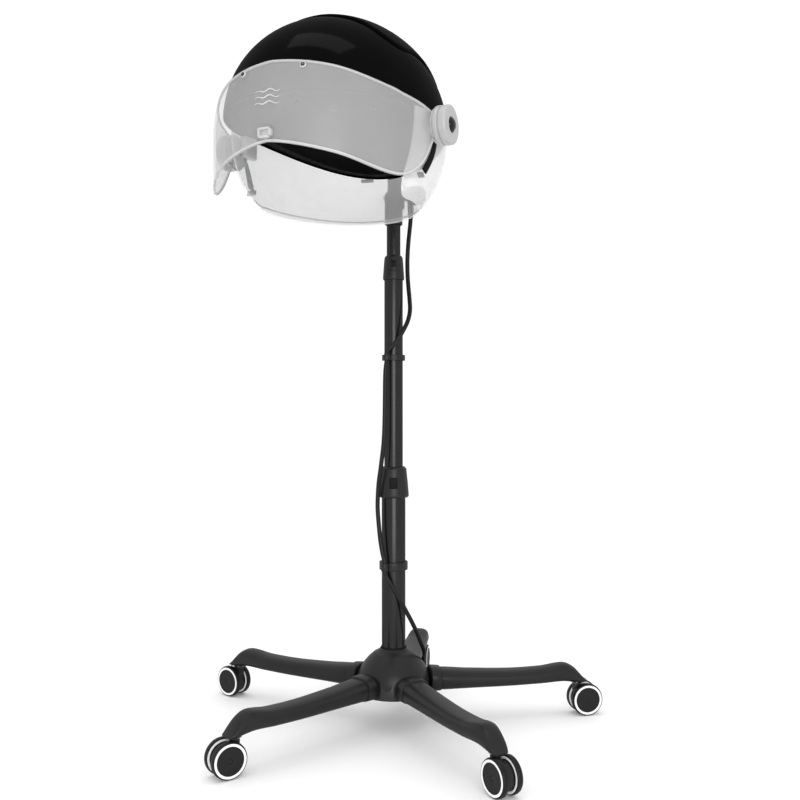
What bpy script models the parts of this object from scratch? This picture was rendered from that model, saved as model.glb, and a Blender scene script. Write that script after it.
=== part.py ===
"""Hood hair dryer on a five-legged rolling stand, modelled as separate pieces.

The column stands upright and the hood faces -Y.  Lengths are in metres.  Every
coordinate below is measured from the column's axis at floor level; the empty
named column_axis then places the whole object so that the middle of its
footprint lies on the world's origin.
"""
import math

import bmesh
import bpy
from mathutils import Matrix, Vector

# ---------------------------------------------------------------- placement
COLUMN_X = 0.0250          # column axis, seen from the middle of the footprint
COLUMN_Y = 0.0339
FACING = math.radians(25)  # direction that the lock buttons and clips face, from -Y
GAP = 0.0003               # clearance between pieces that touch

# ---------------------------------------------------------------- base
LEG_COUNT = 5
FIRST_LEG = FACING + math.radians(80.5)
STEM_RADIUS_OUT = 0.305    # distance from the column to a caster's stem
STEM_RADIUS = 0.0045
STEM_TOP = 0.062
LEG_STATIONS = (           # distance out, underside, top, half width
    (0.0585, 0.0505, 0.0888, 0.0262),
    (0.0755, 0.0508, 0.0875, 0.0255),
    (0.0768, 0.0520, 0.0850, 0.0236),
    (0.1200, 0.0525, 0.0815, 0.0225),
    (0.1900, 0.0530, 0.0785, 0.0215),
    (0.2450, 0.0545, 0.0800, 0.0205),
    (0.2780, 0.0560, 0.0848, 0.0185),
    (0.2900, 0.0548, 0.0832, 0.0168),
    (0.3020, 0.0535, 0.0755, 0.0155),
    (0.3110, 0.0535, 0.0652, 0.0145),
    (0.3190, 0.0540, 0.0575, 0.0110),
)
HUB_TOP = 0.121
HUB_BOTTOM = 0.0500

# ---------------------------------------------------------------- casters
WHEEL_RADIUS = 0.026
WHEEL_WIDTH = 0.0105
CASTER_HALF_WIDTH = 0.017
CASTER_TRAIL = 0.0135
AXLE_RADIUS = 0.003
CASTER_DISC_RADIUS = 0.0205
CASTER_DISC_HALF = 0.0061
# way that each caster's wheels trail behind its stem, from +X
CASTER_HEADINGS = tuple(math.radians(a) for a in (285, 168, 239, 326.5, 36.5))

# ---------------------------------------------------------------- column
LOWER_TUBE_RADIUS = 0.019
MIDDLE_TUBE_RADIUS = 0.0148
UPPER_TUBE_RADIUS = 0.011
TUBE_WALL = 0.0014
LOWER_TUBE_BOTTOM = 0.0605
LOWER_TUBE_TOP = 0.3735
MIDDLE_TUBE_BOTTOM = 0.230
MIDDLE_TUBE_TOP = 0.7215
UPPER_TUBE_BOTTOM = 0.450
UPPER_TUBE_TOP = 0.826
LOWER_COLLAR = (0.3616, 0.4108)   # bottom, top
UPPER_COLLAR = (0.7090, 0.7480)
LOWER_CLIP_Z = (0.2460, 0.2590)
UPPER_CLIP_Z = (0.5800, 0.5890)

# ---------------------------------------------------------------- head
HOOD_CENTRE = Vector((0.0, -0.186, 0.899))
DOME_SEMI = Vector((0.153, 0.176, 0.1505))
DOME_WALL = 0.003
INNER_SEMI = Vector((0.134, 0.157, 0.103))
INNER_WALL = 0.002
RIM_REAR = 0.868           # height of the dome's lower edge behind
RIM_EARS = 0.905           # the same at the ears and in front
EAR_AXIS = Vector((0.0, -0.201, 0.884))
PIVOT = Vector((0.0, 0.004, 0.842))
VISOR_HALF_WIDTH = 0.162
VISOR_REACH = 0.171
VISOR_WALL = 0.003
VISOR_TOP_INSET = 0.011
VISOR_ANGLES = (0, 30, 60, 75, 90)                     # from the front, degrees
VISOR_LOWER = (-0.044, -0.060, -0.081, -0.062, -0.008)  # from the ear axis
VISOR_UPPER = (0.0615, 0.052, 0.031, 0.022, 0.014)
GUARD_SEMI = (0.153, 0.1725)
GUARD_WALL = 0.0025
GUARD_START = math.radians(72)    # front edge of the guard, from the front
GUARD_CORNER = 0.030
GUARD_TAPER = 0.27
GUARD_TAPER_POWER = 2.3
GUARD_FLOOR_REAR = 0.787
GUARD_FLOOR_EARS = 0.791
ARM_ROUTE = (                      # depth, height and half width down the arm beside the guard
    (-0.2020, 0.8920, 0.0045), (-0.1960, 0.8780, 0.0048), (-0.1900, 0.8620, 0.0055),
    (-0.1910, 0.8450, 0.0064), (-0.1965, 0.8270, 0.0070),
)
ARM_NEAR = 0.0013                  # arm's faces, out from the guard
ARM_FAR = 0.0036
KNOB_SEAT = 0.1627
KNOB_HEIGHT = 0.0190

# ---------------------------------------------------------------- cord
CORD_RADIUS = 0.0035
CORD_STEP = 0.018
CORD_STUB = 0.002           # straight bit where the cord meets a clip or its gland
COIL_CENTRE = (-0.030, 0.200)     # side, depth
COIL_INNER = 0.0315
COIL_OUTER = 0.0455
COIL_HEIGHT = 0.0140
# routes: side, depth and height, where depth runs away from FACING
UPPER_ROUTE = (
    (0.0275, 0.0203, 0.8095), (0.0265, 0.0201, 0.7980), (0.0246, 0.0185, 0.7800),
    (0.0230, 0.0165, 0.7600), (0.0222, 0.0140, 0.7380), (0.0227, 0.0110, 0.7160),
    (0.0241, 0.0060, 0.6960), (0.0256, 0.0000, 0.6780), (0.0262, -0.0075, 0.6600),
    (0.0228, -0.0145, 0.6430), (0.0150, -0.0195, 0.6262), (0.0040, -0.0222, 0.6087),
    (-0.0072, -0.0222, 0.5980), (-0.0110, -0.0213, 0.5915),
)
MIDDLE_ROUTE = (
    (-0.0110, -0.0213, 0.5777), (-0.0120, -0.0225, 0.5700), (-0.0130, -0.0235, 0.5550),
    (-0.0135, -0.0240, 0.5200), (-0.0140, -0.0245, 0.4850), (-0.0155, -0.0240, 0.4500),
    (-0.0195, -0.0215, 0.4150), (-0.0235, -0.0165, 0.3850), (-0.0250, -0.0142, 0.3620),
    (-0.0252, -0.0140, 0.3450), (-0.0240, -0.0150, 0.3260), (-0.0210, -0.0182, 0.2960),
    (-0.0170, -0.0210, 0.2730), (-0.0137, -0.0225, 0.2613),
)
LOWER_ROUTE = (
    (-0.0137, -0.0225, 0.2437), (-0.0105, -0.0240, 0.2365), (-0.0040, -0.0250, 0.2265),
    (0.0060, -0.0250, 0.2090), (0.0182, -0.0235, 0.1870), (0.0290, -0.0205, 0.1660),
    (0.0375, -0.0140, 0.1470), (0.0440, -0.0030, 0.1290), (0.0490, 0.0120, 0.1125),
    (0.0500, 0.0300, 0.0980), (0.0475, 0.0455, 0.0800), (0.0480, 0.0600, 0.0560),
    (0.0510, 0.0750, 0.0310), (0.0530, 0.0895, 0.0120), (0.0520, 0.1040, 0.0046),
    (0.0460, 0.1210, 0.0038), (0.0370, 0.1370, 0.0038), (0.0280, 0.1530, 0.0038),
    (0.0217, 0.1700, 0.0038), (0.0194, 0.1870, 0.0038), (0.0194, 0.1930, 0.0038),
)
PLUG_START = (-0.0612, 0.2385, 0.0105)

X_AXIS = Vector((1, 0, 0))
Z_AXIS = Vector((0, 0, 1))


# ================================================================ helpers
def clear_scene():
    for obj in list(bpy.data.objects):
        bpy.data.objects.remove(obj, do_unlink=True)
    for collection in list(bpy.data.collections):
        bpy.data.collections.remove(collection)


def new_collection(name):
    collection = bpy.data.collections.new(name)
    bpy.context.scene.collection.children.link(collection)
    return collection


def make_material(name, colour, roughness, metallic=0.0, alpha=1.0):
    material = bpy.data.materials.new(name)
    material.use_nodes = True
    shader = material.node_tree.nodes["Principled BSDF"]
    shader.inputs["Base Color"].default_value = (*colour, 1.0)
    shader.inputs["Roughness"].default_value = roughness
    shader.inputs["Metallic"].default_value = metallic
    shader.inputs["Alpha"].default_value = alpha
    material.diffuse_color = (*colour, alpha)
    return material


def add_object(name, data, look, location=(0, 0, 0)):
    """Link data as a part, or as a cutter where look is None."""
    obj = bpy.data.objects.new(name, data)
    if look is None:
        CUTTERS.objects.link(obj)
        obj.hide_render = True
        obj.display_type = "WIRE"
    else:
        PARTS.objects.link(obj)
        data.materials.append(make_material(name + "_look", *look))
    obj.parent = COLUMN
    obj.location = location
    return obj


def add_bmesh(name, bm, look, origin=(0, 0, 0)):
    """Turn a bmesh made in column coordinates into an object with that origin."""
    bmesh.ops.translate(bm, verts=bm.verts, vec=-Vector(origin))
    mesh = bpy.data.meshes.new(name)
    bm.to_mesh(mesh)
    bm.free()
    mesh.shade_smooth()
    mesh.set_sharp_from_angle(angle=math.radians(35))
    return add_object(name, mesh, look, origin)


def turned(name, profile, look, location=(0, 0, 0), direction=Z_AXIS, segments=20, closed=False):
    """A profile of (radius, height) spun round an axis, outer side from top to bottom."""
    count = len(profile)
    edges = [(i, i + 1) for i in range(count - 1)]
    if closed:
        edges.append((count - 1, 0))
    mesh = bpy.data.meshes.new(name)
    mesh.from_pydata([(radius, 0, height) for radius, height in profile], edges, [])
    obj = add_object(name, mesh, look, location)
    obj.rotation_mode = "QUATERNION"
    obj.rotation_quaternion = Z_AXIS.rotation_difference(Vector(direction))
    screw = obj.modifiers.new("Spin", "SCREW")
    screw.angle = math.tau
    screw.steps = segments
    screw.render_steps = segments
    screw.use_merge_vertices = True
    screw.merge_threshold = 0.00001
    screw.use_smooth_shade = False
    return obj


def ring(name, outer, inner, low, high, look, segments=20):
    profile = [(outer, high), (outer, low), (inner, low), (inner, high)]
    return turned(name, profile, look, segments=segments, closed=True)


def box_bmesh(low, high):
    bm = bmesh.new()
    bmesh.ops.create_cube(bm, size=1.0)
    low, high = Vector(low), Vector(high)
    bmesh.ops.scale(bm, vec=high - low, verts=bm.verts)
    bmesh.ops.translate(bm, vec=(low + high) / 2, verts=bm.verts)
    return bm


def box(name, low, high, look, origin=(0, 0, 0)):
    return add_bmesh(name, box_bmesh(low, high), look, origin)


def rod(name, radius, start, end, look, segments=16, origin=None):
    start, end = Vector(start), Vector(end)
    bm = bmesh.new()
    bmesh.ops.create_cone(bm, cap_ends=True, segments=segments, radius1=radius,
                          radius2=radius, depth=(end - start).length)
    turn = Z_AXIS.rotation_difference(end - start).to_matrix().to_4x4()
    bmesh.ops.transform(bm, matrix=Matrix.Translation((start + end) / 2) @ turn, verts=bm.verts)
    return add_bmesh(name, bm, look, start if origin is None else origin)


def combine(target, other, operation):
    """Boolean of a part with a cutter."""
    modifier = target.modifiers.new(operation.title(), "BOOLEAN")
    modifier.object = other
    modifier.operation = operation
    modifier.solver = "EXACT"
    return target


def bevel(obj, width, segments=2, angle=40):
    modifier = obj.modifiers.new("Edges", "BEVEL")
    modifier.width = width
    modifier.segments = segments
    modifier.limit_method = "ANGLE"
    modifier.angle_limit = math.radians(angle)
    return obj


def solidify(obj, thickness):
    modifier = obj.modifiers.new("Wall", "SOLIDIFY")
    modifier.thickness = thickness
    modifier.offset = -1
    modifier.use_even_offset = True
    return obj


def ellipsoid(name, semi, look, grow=0.0, segments=28, rings=18):
    bm = bmesh.new()
    bmesh.ops.create_uvsphere(bm, u_segments=segments, v_segments=rings, radius=1.0)
    bmesh.ops.scale(bm, vec=semi + Vector((grow, grow, grow)), verts=bm.verts)
    bmesh.ops.translate(bm, vec=HOOD_CENTRE, verts=bm.verts)
    return add_bmesh(name, bm, look)


def smooth_step(low, high, value):
    t = min(max((value - low) / (high - low), 0.0), 1.0)
    return t * t * (3 - 2 * t)


def through(points, values, at):
    """Catmull-Rom curve through hand-set values."""
    last = len(points) - 1
    i = max(0, min(last - 1, sum(1 for p in points[1:] if p <= at)))
    t = (at - points[i]) / (points[i + 1] - points[i])
    before = values[max(i - 1, 0)]
    after = values[min(i + 2, last)]
    a, b = values[i], values[i + 1]
    return 0.5 * (2 * a + (b - before) * t + (2 * before - 5 * a + 4 * b - after) * t * t
                  + (3 * a - before - 3 * b + after) * t ** 3)


def from_column(side, depth, height):
    """Point given by side and depth as seen from the FACING direction."""
    return Vector((side * math.cos(FACING) - depth * math.sin(FACING),
                   side * math.sin(FACING) + depth * math.cos(FACING), height))


# ================================================================ base
def leg_section(out, under, top, half_width, corners=12, power=2.6):
    """Rounded-oval section of a leg, square to the leg."""
    points = []
    for k in range(corners):
        angle = math.tau * (k + 0.5) / corners
        across = math.copysign(abs(math.cos(angle)) ** (2 / power), math.cos(angle))
        upward = math.copysign(abs(math.sin(angle)) ** (2 / power), math.sin(angle))
        points.append((out, across * half_width, (under + top) / 2 + upward * (top - under) / 2))
    return points


def leg_mesh():
    """One leg along +X, lofted, with the socket for a caster's stem."""
    bm = bmesh.new()
    rows = [[bm.verts.new(p) for p in leg_section(*station)] for station in LEG_STATIONS]
    for row, following in zip(rows, rows[1:]):
        for k in range(len(row)):
            n = (k + 1) % len(row)
            bm.faces.new((row[k], row[n], following[n], following[k]))
    bm.faces.new(list(reversed(rows[0])))
    bm.faces.new(rows[-1])
    bmesh.ops.recalc_face_normals(bm, faces=bm.faces)
    leg = add_bmesh("leg_pattern", bm, None)
    socket = rod("leg_socket_cutter", STEM_RADIUS + 0.0004, (STEM_RADIUS_OUT, 0, 0.040),
                 (STEM_RADIUS_OUT, 0, STEM_TOP + 0.001), None, segments=12)
    combine(leg, socket, "DIFFERENCE")
    bpy.context.view_layer.update()
    mesh = bpy.data.meshes.new_from_object(leg.evaluated_get(bpy.context.evaluated_depsgraph_get()))
    mesh.materials.clear()
    bpy.data.objects.remove(leg)
    return mesh


def build_hub():
    profile = [(0.0, 0.0595), (LOWER_TUBE_RADIUS + GAP, 0.0595), (LOWER_TUBE_RADIUS + GAP, HUB_TOP),
               (0.0215, HUB_TOP), (0.0320, 0.1140), (0.0440, 0.1030), (0.0530, 0.0910),
               (0.0580, 0.0790), (0.0580, 0.0540), (0.0545, HUB_BOTTOM), (0.0, HUB_BOTTOM)]
    hub = turned("hub", profile, BLACK_PLASTIC, segments=20)
    # a flat of the twenty-sided hub faces each leg
    flat = Matrix.Rotation(FIRST_LEG + math.pi / 20, 4, "Z").to_quaternion()
    hub.rotation_quaternion = flat
    return hub


def build_legs():
    pattern = leg_mesh()
    for k in range(LEG_COUNT):
        leg = add_object(f"leg_{k + 1}", pattern.copy(), BLACK_PLASTIC)
        leg.rotation_euler = (0, 0, FIRST_LEG + math.tau * k / LEG_COUNT)


def build_caster(k):
    """Swivel body with its stem and axle, and two wheels that turn on their own."""
    angle = FIRST_LEG + math.tau * k / LEG_COUNT
    stem = Vector((math.cos(angle), math.sin(angle), 0)) * STEM_RADIUS_OUT
    heading = CASTER_HEADINGS[k]
    trail = Vector((math.cos(heading), math.sin(heading), 0))
    axle = Vector((-trail.y, trail.x, 0))
    centre = stem + trail * CASTER_TRAIL + Z_AXIS * WHEEL_RADIUS
    name = f"caster_{k + 1}"
    body = rod(f"{name}_swivel", CASTER_DISC_RADIUS, centre - axle * CASTER_DISC_HALF,
               centre + axle * CASTER_DISC_HALF, BLACK_PLASTIC, segments=18, origin=stem)
    neck = rod(f"{name}_neck", 0.0059, stem + Z_AXIS * 0.024, stem + Z_AXIS * 0.0526, None, segments=12)
    washer = rod(f"{name}_washer", 0.0095, stem + Z_AXIS * 0.0523, stem + Z_AXIS * 0.0531, None,
                 segments=12)
    pin = rod(f"{name}_stem", STEM_RADIUS, stem + Z_AXIS * 0.0527, stem + Z_AXIS * STEM_TOP, None,
              segments=12)
    bar = rod(f"{name}_axle", AXLE_RADIUS, centre - axle * (CASTER_HALF_WIDTH - 0.001),
              centre + axle * (CASTER_HALF_WIDTH - 0.001), None, segments=8)
    for piece in (neck, washer, pin, bar):
        combine(body, piece, "UNION")
    inner = CASTER_HALF_WIDTH - WHEEL_WIDTH
    bore = AXLE_RADIUS + GAP
    for side, letter in ((1, "a"), (-1, "b")):
        profile = [(bore, CASTER_HALF_WIDTH), (WHEEL_RADIUS - 0.0016, CASTER_HALF_WIDTH),
                   (WHEEL_RADIUS, CASTER_HALF_WIDTH - 0.0016), (WHEEL_RADIUS, inner), (bore, inner)]
        turned(f"{name}_wheel_{letter}", profile, BLACK_PLASTIC, centre, axle * side,
               segments=18, closed=True)


# ================================================================ column
def build_tubes():
    ring("lower_tube", LOWER_TUBE_RADIUS, LOWER_TUBE_RADIUS - TUBE_WALL,
         LOWER_TUBE_BOTTOM, LOWER_TUBE_TOP, BLACK_METAL)
    ring("middle_tube", MIDDLE_TUBE_RADIUS, MIDDLE_TUBE_RADIUS - TUBE_WALL,
         MIDDLE_TUBE_BOTTOM, MIDDLE_TUBE_TOP, BLACK_METAL)
    ring("upper_tube", UPPER_TUBE_RADIUS, UPPER_TUBE_RADIUS - TUBE_WALL,
         UPPER_TUBE_BOTTOM, UPPER_TUBE_TOP, BLACK_METAL)


def recessed_collar(name, profile, recess_low, recess_high):
    """Turned collar with a square pocket for its push button on the facing side."""
    collar = turned(name, profile, BLACK_PLASTIC, closed=True)
    pocket = box(f"{name}_pocket", recess_low, recess_high, None)
    pocket.rotation_euler = (0, 0, FACING)
    return combine(collar, pocket, "DIFFERENCE")


def button(name, half_width, face, depth, low, high):
    """Push button, sliding towards the column; its origin is on the column axis."""
    obj = box(name, (-half_width, -face, low), (half_width, -face + depth, high), BLACK_PLASTIC)
    obj.rotation_euler = (0, 0, FACING)
    return bevel(obj, 0.0006, segments=1)


def build_collars():
    low, high = LOWER_COLLAR
    outer_bore = LOWER_TUBE_RADIUS + GAP
    slide_bore = MIDDLE_TUBE_RADIUS + GAP
    step = LOWER_TUBE_TOP + GAP
    profile = [(slide_bore, high), (0.0178, high), (0.0208, high - 0.0034), (0.0245, low + 0.006),
               (0.0245, low + 0.002), (0.0228, low), (outer_bore, low), (outer_bore, step),
               (slide_bore, step)]
    recessed_collar("lower_collar", profile, (-0.0066, -0.030, 0.3765), (0.0066, -0.0178, 0.3942))
    button("lower_button", 0.0062, 0.0236, 0.0038, 0.3769, 0.3938)
    low, high = UPPER_COLLAR
    outer_bore = MIDDLE_TUBE_RADIUS + GAP
    slide_bore = UPPER_TUBE_RADIUS + GAP
    step = MIDDLE_TUBE_TOP + GAP
    profile = [(slide_bore, high), (0.0124, high), (0.0147, high - 0.0038), (0.0170, low + 0.004),
               (0.0170, low + 0.001), (0.0162, low), (outer_bore, low), (outer_bore, step),
               (slide_bore, step)]
    recessed_collar("upper_collar", profile, (-0.0046, -0.020, 0.7282), (0.0046, -0.01295, 0.7393))
    button("upper_button", 0.0042, 0.0166, 0.0020, 0.7286, 0.7389)


def build_clip(name, inner, outer, span, hook_at, hook_radius):
    """Ring clipped round a tube with a lobe that carries the cord."""
    low, high = span
    clip = ring(name, outer, inner, low, high, BLACK_PLASTIC)
    hook = rod(f"{name}_hook", hook_radius, from_column(*hook_at, low), from_column(*hook_at, high),
               None, segments=14)
    combine(clip, hook, "UNION")
    clear = rod(f"{name}_bore", inner, (0, 0, low - 0.01), (0, 0, high + 0.01), None, segments=20)
    return combine(clip, clear, "DIFFERENCE")


# ================================================================ bracket and tilt joint
def build_pole_head():
    """Sleeve on the upper tube with two hinge lugs and the cord's entry box."""
    sleeve = turned("pole_head", [(0, 0.831), (0.0133, 0.831), (0.0143, 0.830), (0.0143, 0.798),
                                  (0.0133, 0.797), (0, 0.797)], BLACK_PLASTIC)
    for side in (-1, 1):
        near, far = 0.0100 * side, 0.0135 * side
        low_x, high_x = min(near, far), max(near, far)
        plate = box(f"lug_plate_{side + 1}", (low_x, -0.0055, 0.822), (high_x, 0.0135, PIVOT.z), None)
        eye = rod(f"lug_eye_{side + 1}", 0.0095, (near, PIVOT.y, PIVOT.z), (far, PIVOT.y, PIVOT.z),
                  None, segments=20)
        combine(sleeve, plate, "UNION")
        combine(sleeve, eye, "UNION")
    entry = box("cord_entry", (0.0105, 0.0122, 0.8385), (0.0225, 0.0365, 0.8550), None)
    combine(sleeve, entry, "UNION")
    bore = rod("sleeve_bore", UPPER_TUBE_RADIUS + GAP, (0, 0, 0.790),
               (0, 0, UPPER_TUBE_TOP + GAP), None, segments=20)
    combine(sleeve, bore, "DIFFERENCE")
    hole = rod("lug_hole", 0.0034, (-0.03, PIVOT.y, PIVOT.z), (0.03, PIVOT.y, PIVOT.z), None,
               segments=12)
    return combine(sleeve, hole, "DIFFERENCE")


def build_tilt_bolt_and_knob():
    bolt = rod("tilt_bolt", 0.0030, (-0.0160, PIVOT.y, PIVOT.z), (0.0295, PIVOT.y, PIVOT.z),
               STEEL, segments=12, origin=PIVOT)
    head = rod("tilt_bolt_head", 0.0058, (-0.0182, PIVOT.y, PIVOT.z), (-0.0140, PIVOT.y, PIVOT.z),
               None, segments=6)
    combine(bolt, head, "UNION")
    profile = [(0.0, 0.0500), (0.0120, 0.0500), (0.0150, 0.0475), (0.0150, 0.0290),
               (0.0130, 0.0262), (0.0060, 0.0262), (0.0060, 0.0142), (0.0033, 0.0142),
               (0.0033, 0.0298), (0.0, 0.0298)]
    turned("tilt_knob", profile, BLACK_PLASTIC, PIVOT, X_AXIS, segments=20)


def build_tilt_arm():
    """Tongue between the lugs and the pad that carries the dome's back."""
    arm = box("tilt_arm", (-0.0095, -0.004, PIVOT.z), (0.0095, 0.012, 0.884), BLACK_PLASTIC, PIVOT)
    eye = rod("tongue_eye", 0.0080, (-0.0095, PIVOT.y, PIVOT.z), (0.0095, PIVOT.y, PIVOT.z), None,
              segments=20)
    pad = box("arm_pad", (-0.024, -0.026, 0.880), (0.024, 0.0062, 0.934), None)
    shell = ellipsoid("pad_cutter", DOME_SEMI, None, grow=0.0006)
    hole = rod("tongue_hole", 0.0034, (-0.02, PIVOT.y, PIVOT.z), (0.02, PIVOT.y, PIVOT.z), None,
               segments=12)
    bevel(pad, 0.004, segments=2)
    combine(pad, shell, "DIFFERENCE")
    combine(arm, eye, "UNION")
    combine(arm, pad, "UNION")
    return combine(arm, hole, "DIFFERENCE")


# ================================================================ dome
def smooth_rim(azimuth):
    """Rim height at an azimuth counted from +X."""
    return RIM_EARS - (RIM_EARS - RIM_REAR) * max(math.sin(azimuth), 0.0) ** 2


def cap_bmesh(semi, lift=0.0, segments=28, rings=7):
    """Upper part of an ellipsoid whose lowest ring follows the rim."""
    bm = bmesh.new()
    bmesh.ops.create_uvsphere(bm, u_segments=segments, v_segments=2 * rings, radius=1.0)
    bmesh.ops.delete(bm, geom=[v for v in bm.verts if v.co.z < -0.01], context="VERTS")
    for vert in bm.verts:
        azimuth = math.atan2(vert.co.y, vert.co.x)
        share = math.asin(min(vert.co.z, 1.0)) / (math.pi / 2)
        rim = math.asin((smooth_rim(azimuth) + lift - HOOD_CENTRE.z) / semi.z)
        elevation = rim + (math.pi / 2 - rim) * share
        flat = math.cos(elevation)
        vert.co = HOOD_CENTRE + Vector((semi.x * flat * math.cos(azimuth),
                                        semi.y * flat * math.sin(azimuth),
                                        semi.z * math.sin(elevation)))
    return bm


def build_outer_dome():
    dome = add_bmesh("outer_dome", cap_bmesh(DOME_SEMI), GLOSS_BLACK)
    return solidify(dome, DOME_WALL)


def build_top_cover():
    """Raised cover over the crown and the back of the dome."""
    cover = ellipsoid("top_cover", DOME_SEMI, GLOSS_BLACK, grow=0.0031)
    inside = ellipsoid("top_cover_inside", DOME_SEMI, None, grow=0.0007)
    region = box("top_cover_region", (-0.124, -0.250, 0.943), (0.124, 0.05, 1.10), None)
    bevel(region, 0.030, segments=3, angle=80)
    combine(cover, region, "INTERSECT")
    return combine(cover, inside, "DIFFERENCE")


def build_inner_shell():
    """Perforated air shell with a flange that closes the gap at the rim."""
    bm = cap_bmesh(INNER_SEMI, lift=0.0030, rings=6)
    rim = [e for e in bm.edges if e.is_boundary]
    made = bmesh.ops.extrude_edge_only(bm, edges=rim)["geom"]
    inside = DOME_SEMI - Vector((1, 1, 1)) * (DOME_WALL + 0.0012)
    for vert in (g for g in made if isinstance(g, bmesh.types.BMVert)):
        flat = Vector((vert.co.x / INNER_SEMI.x, (vert.co.y - HOOD_CENTRE.y) / INNER_SEMI.y)).normalized()
        reach = math.sqrt(1 - ((vert.co.z - HOOD_CENTRE.z) / inside.z) ** 2)
        vert.co.x = inside.x * reach * flat.x
        vert.co.y = HOOD_CENTRE.y + inside.y * reach * flat.y
    bmesh.ops.recalc_face_normals(bm, faces=bm.faces)
    shell = add_bmesh("inner_shell", bm, MATT_BLACK)
    solidify(shell, INNER_WALL)
    for k in range(10):
        angle = math.tau * (k + 0.5) / 10
        outward = Vector((math.cos(angle), math.sin(angle), 0.9)).normalized()
        middle = HOOD_CENTRE + Vector((INNER_SEMI.x * outward.x, INNER_SEMI.y * outward.y,
                                       INNER_SEMI.z * outward.z))
        hole = rod(f"air_hole_{k + 1}", 0.006, middle - outward * 0.012, middle + outward * 0.012,
                   None, segments=8)
        combine(shell, hole, "DIFFERENCE")
    return shell


def build_blower():
    x, y = HOOD_CENTRE.x, HOOD_CENTRE.y
    turned("motor", [(0.0, 1.0430), (0.0155, 1.0430), (0.0180, 1.0405), (0.0180, 1.0225),
                     (0.0025, 1.0225), (0.0025, 1.0070), (0.0, 1.0070)], STEEL, (x, y, 0),
           segments=20)
    fan = turned("fan", [(0.0090, 1.0200), (0.0450, 1.0200), (0.0450, 1.0185), (0.0080, 1.0185),
                         (0.0080, 1.0080), (0.0029, 1.0080), (0.0029, 1.0200)], MATT_BLACK,
                 (x, y, 0), segments=20, closed=True)
    for k in range(8):
        blade = box(f"fan_blade_{k + 1}", (0.020, -0.0008, 1.0080), (0.0440, 0.0008, 1.0190), None)
        blade.location = (x, y, 0)
        blade.rotation_euler = (0, 0, math.tau * (k + 0.25) / 8)
        combine(fan, blade, "UNION")
    heater = turned("heater_ring", [(0.0600, 1.0045), (0.0680, 1.0045), (0.0680, 0.9975),
                                    (0.0600, 0.9975)], STEEL, (x, y, 0), segments=24, closed=True)
    return fan, heater


# ================================================================ controls
CONSOLE_TILT = math.radians(35)
CONSOLE_OUT = Vector((0, math.cos(CONSOLE_TILT), math.sin(CONSOLE_TILT)))
CONSOLE_UP = Vector((0, -math.sin(CONSOLE_TILT), math.cos(CONSOLE_TILT)))


def console_base():
    scaled = Vector((0, DOME_SEMI.y * CONSOLE_OUT.y, DOME_SEMI.z * CONSOLE_OUT.z))
    surface = Vector((0, DOME_SEMI.y * scaled.y, DOME_SEMI.z * scaled.z)) / scaled.length
    return HOOD_CENTRE + surface


def on_console(side, up, out):
    return console_base() + X_AXIS * side + CONSOLE_UP * up + CONSOLE_OUT * out


def build_console():
    """Control box on the back of the cover with a timer, a heat knob and a switch."""
    bm = box_bmesh((-0.052, -0.010, -0.021), (0.052, 0.012, 0.021))
    frame = Matrix.Translation(console_base()) @ Matrix((
        (1, 0, 0, 0),
        (0, CONSOLE_OUT.y, CONSOLE_UP.y, 0),
        (0, CONSOLE_OUT.z, CONSOLE_UP.z, 0),
        (0, 0, 0, 1)))
    bmesh.ops.transform(bm, matrix=frame, verts=bm.verts)
    console = add_bmesh("control_console", bm, MATT_BLACK)
    bevel(console, 0.005, segments=2)
    skin = ellipsoid("console_cutter", DOME_SEMI, None, grow=0.0035)
    combine(console, skin, "DIFFERENCE")
    pocket = rod("switch_pocket", 0.0088, on_console(0, 0, 0.0049), on_console(0, 0, 0.020), None,
                 segments=16)
    combine(console, pocket, "DIFFERENCE")
    knob = [(0.0, 0.0140), (0.0080, 0.0140), (0.0095, 0.0125), (0.0110, 0.0015), (0.0110, 0.0),
            (0.0, 0.0)]
    turned("timer_knob", knob, LIGHT_GREY, on_console(-0.032, 0, 0.0124), CONSOLE_OUT, segments=18)
    turned("temperature_knob", knob, LIGHT_GREY, on_console(0.032, 0, 0.0124), CONSOLE_OUT,
           segments=18)
    centre = on_console(0, 0, 0.0110)
    switch = rod("power_switch", 0.0058, on_console(-0.0042, 0, 0.0110), on_console(0.0042, 0, 0.0110),
                 GLOSS_BLACK, segments=12, origin=centre)
    ridge = rod("switch_ridge", 0.0016, on_console(0, 0, 0.0130), on_console(0, 0, 0.0195), None,
                segments=10)
    combine(switch, ridge, "UNION")
    return switch


# ================================================================ guard and visor
def guard_narrowing(top, height):
    """Share of the guard's full width at a height."""
    return 1 - GUARD_TAPER * (max(top - height, 0.0) / (top - GUARD_FLOOR_REAR)) ** GUARD_TAPER_POWER


def guard_surface(azimuth, share):
    """Point of the guard's outer face; azimuth from the front, share 0 top to 1 bottom."""
    x, y = math.sin(azimuth), -math.cos(azimuth)
    top = smooth_rim(math.atan2(y, x)) - 0.0010
    rearward = max(-math.cos(azimuth), 0.0)
    low = GUARD_FLOOR_EARS + (GUARD_FLOOR_REAR - GUARD_FLOOR_EARS) * rearward
    from_edge = GUARD_SEMI[0] * (math.pi - GUARD_START - abs(math.pi - azimuth))
    inside = min(max(GUARD_CORNER - from_edge, 0.0), GUARD_CORNER)
    low += GUARD_CORNER - math.sqrt(GUARD_CORNER ** 2 - inside ** 2)
    height = top + (low - top) * share
    narrow = guard_narrowing(top, height)
    return Vector((GUARD_SEMI[0] * narrow * x, HOOD_CENTRE.y + GUARD_SEMI[1] * narrow * y, height))


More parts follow.
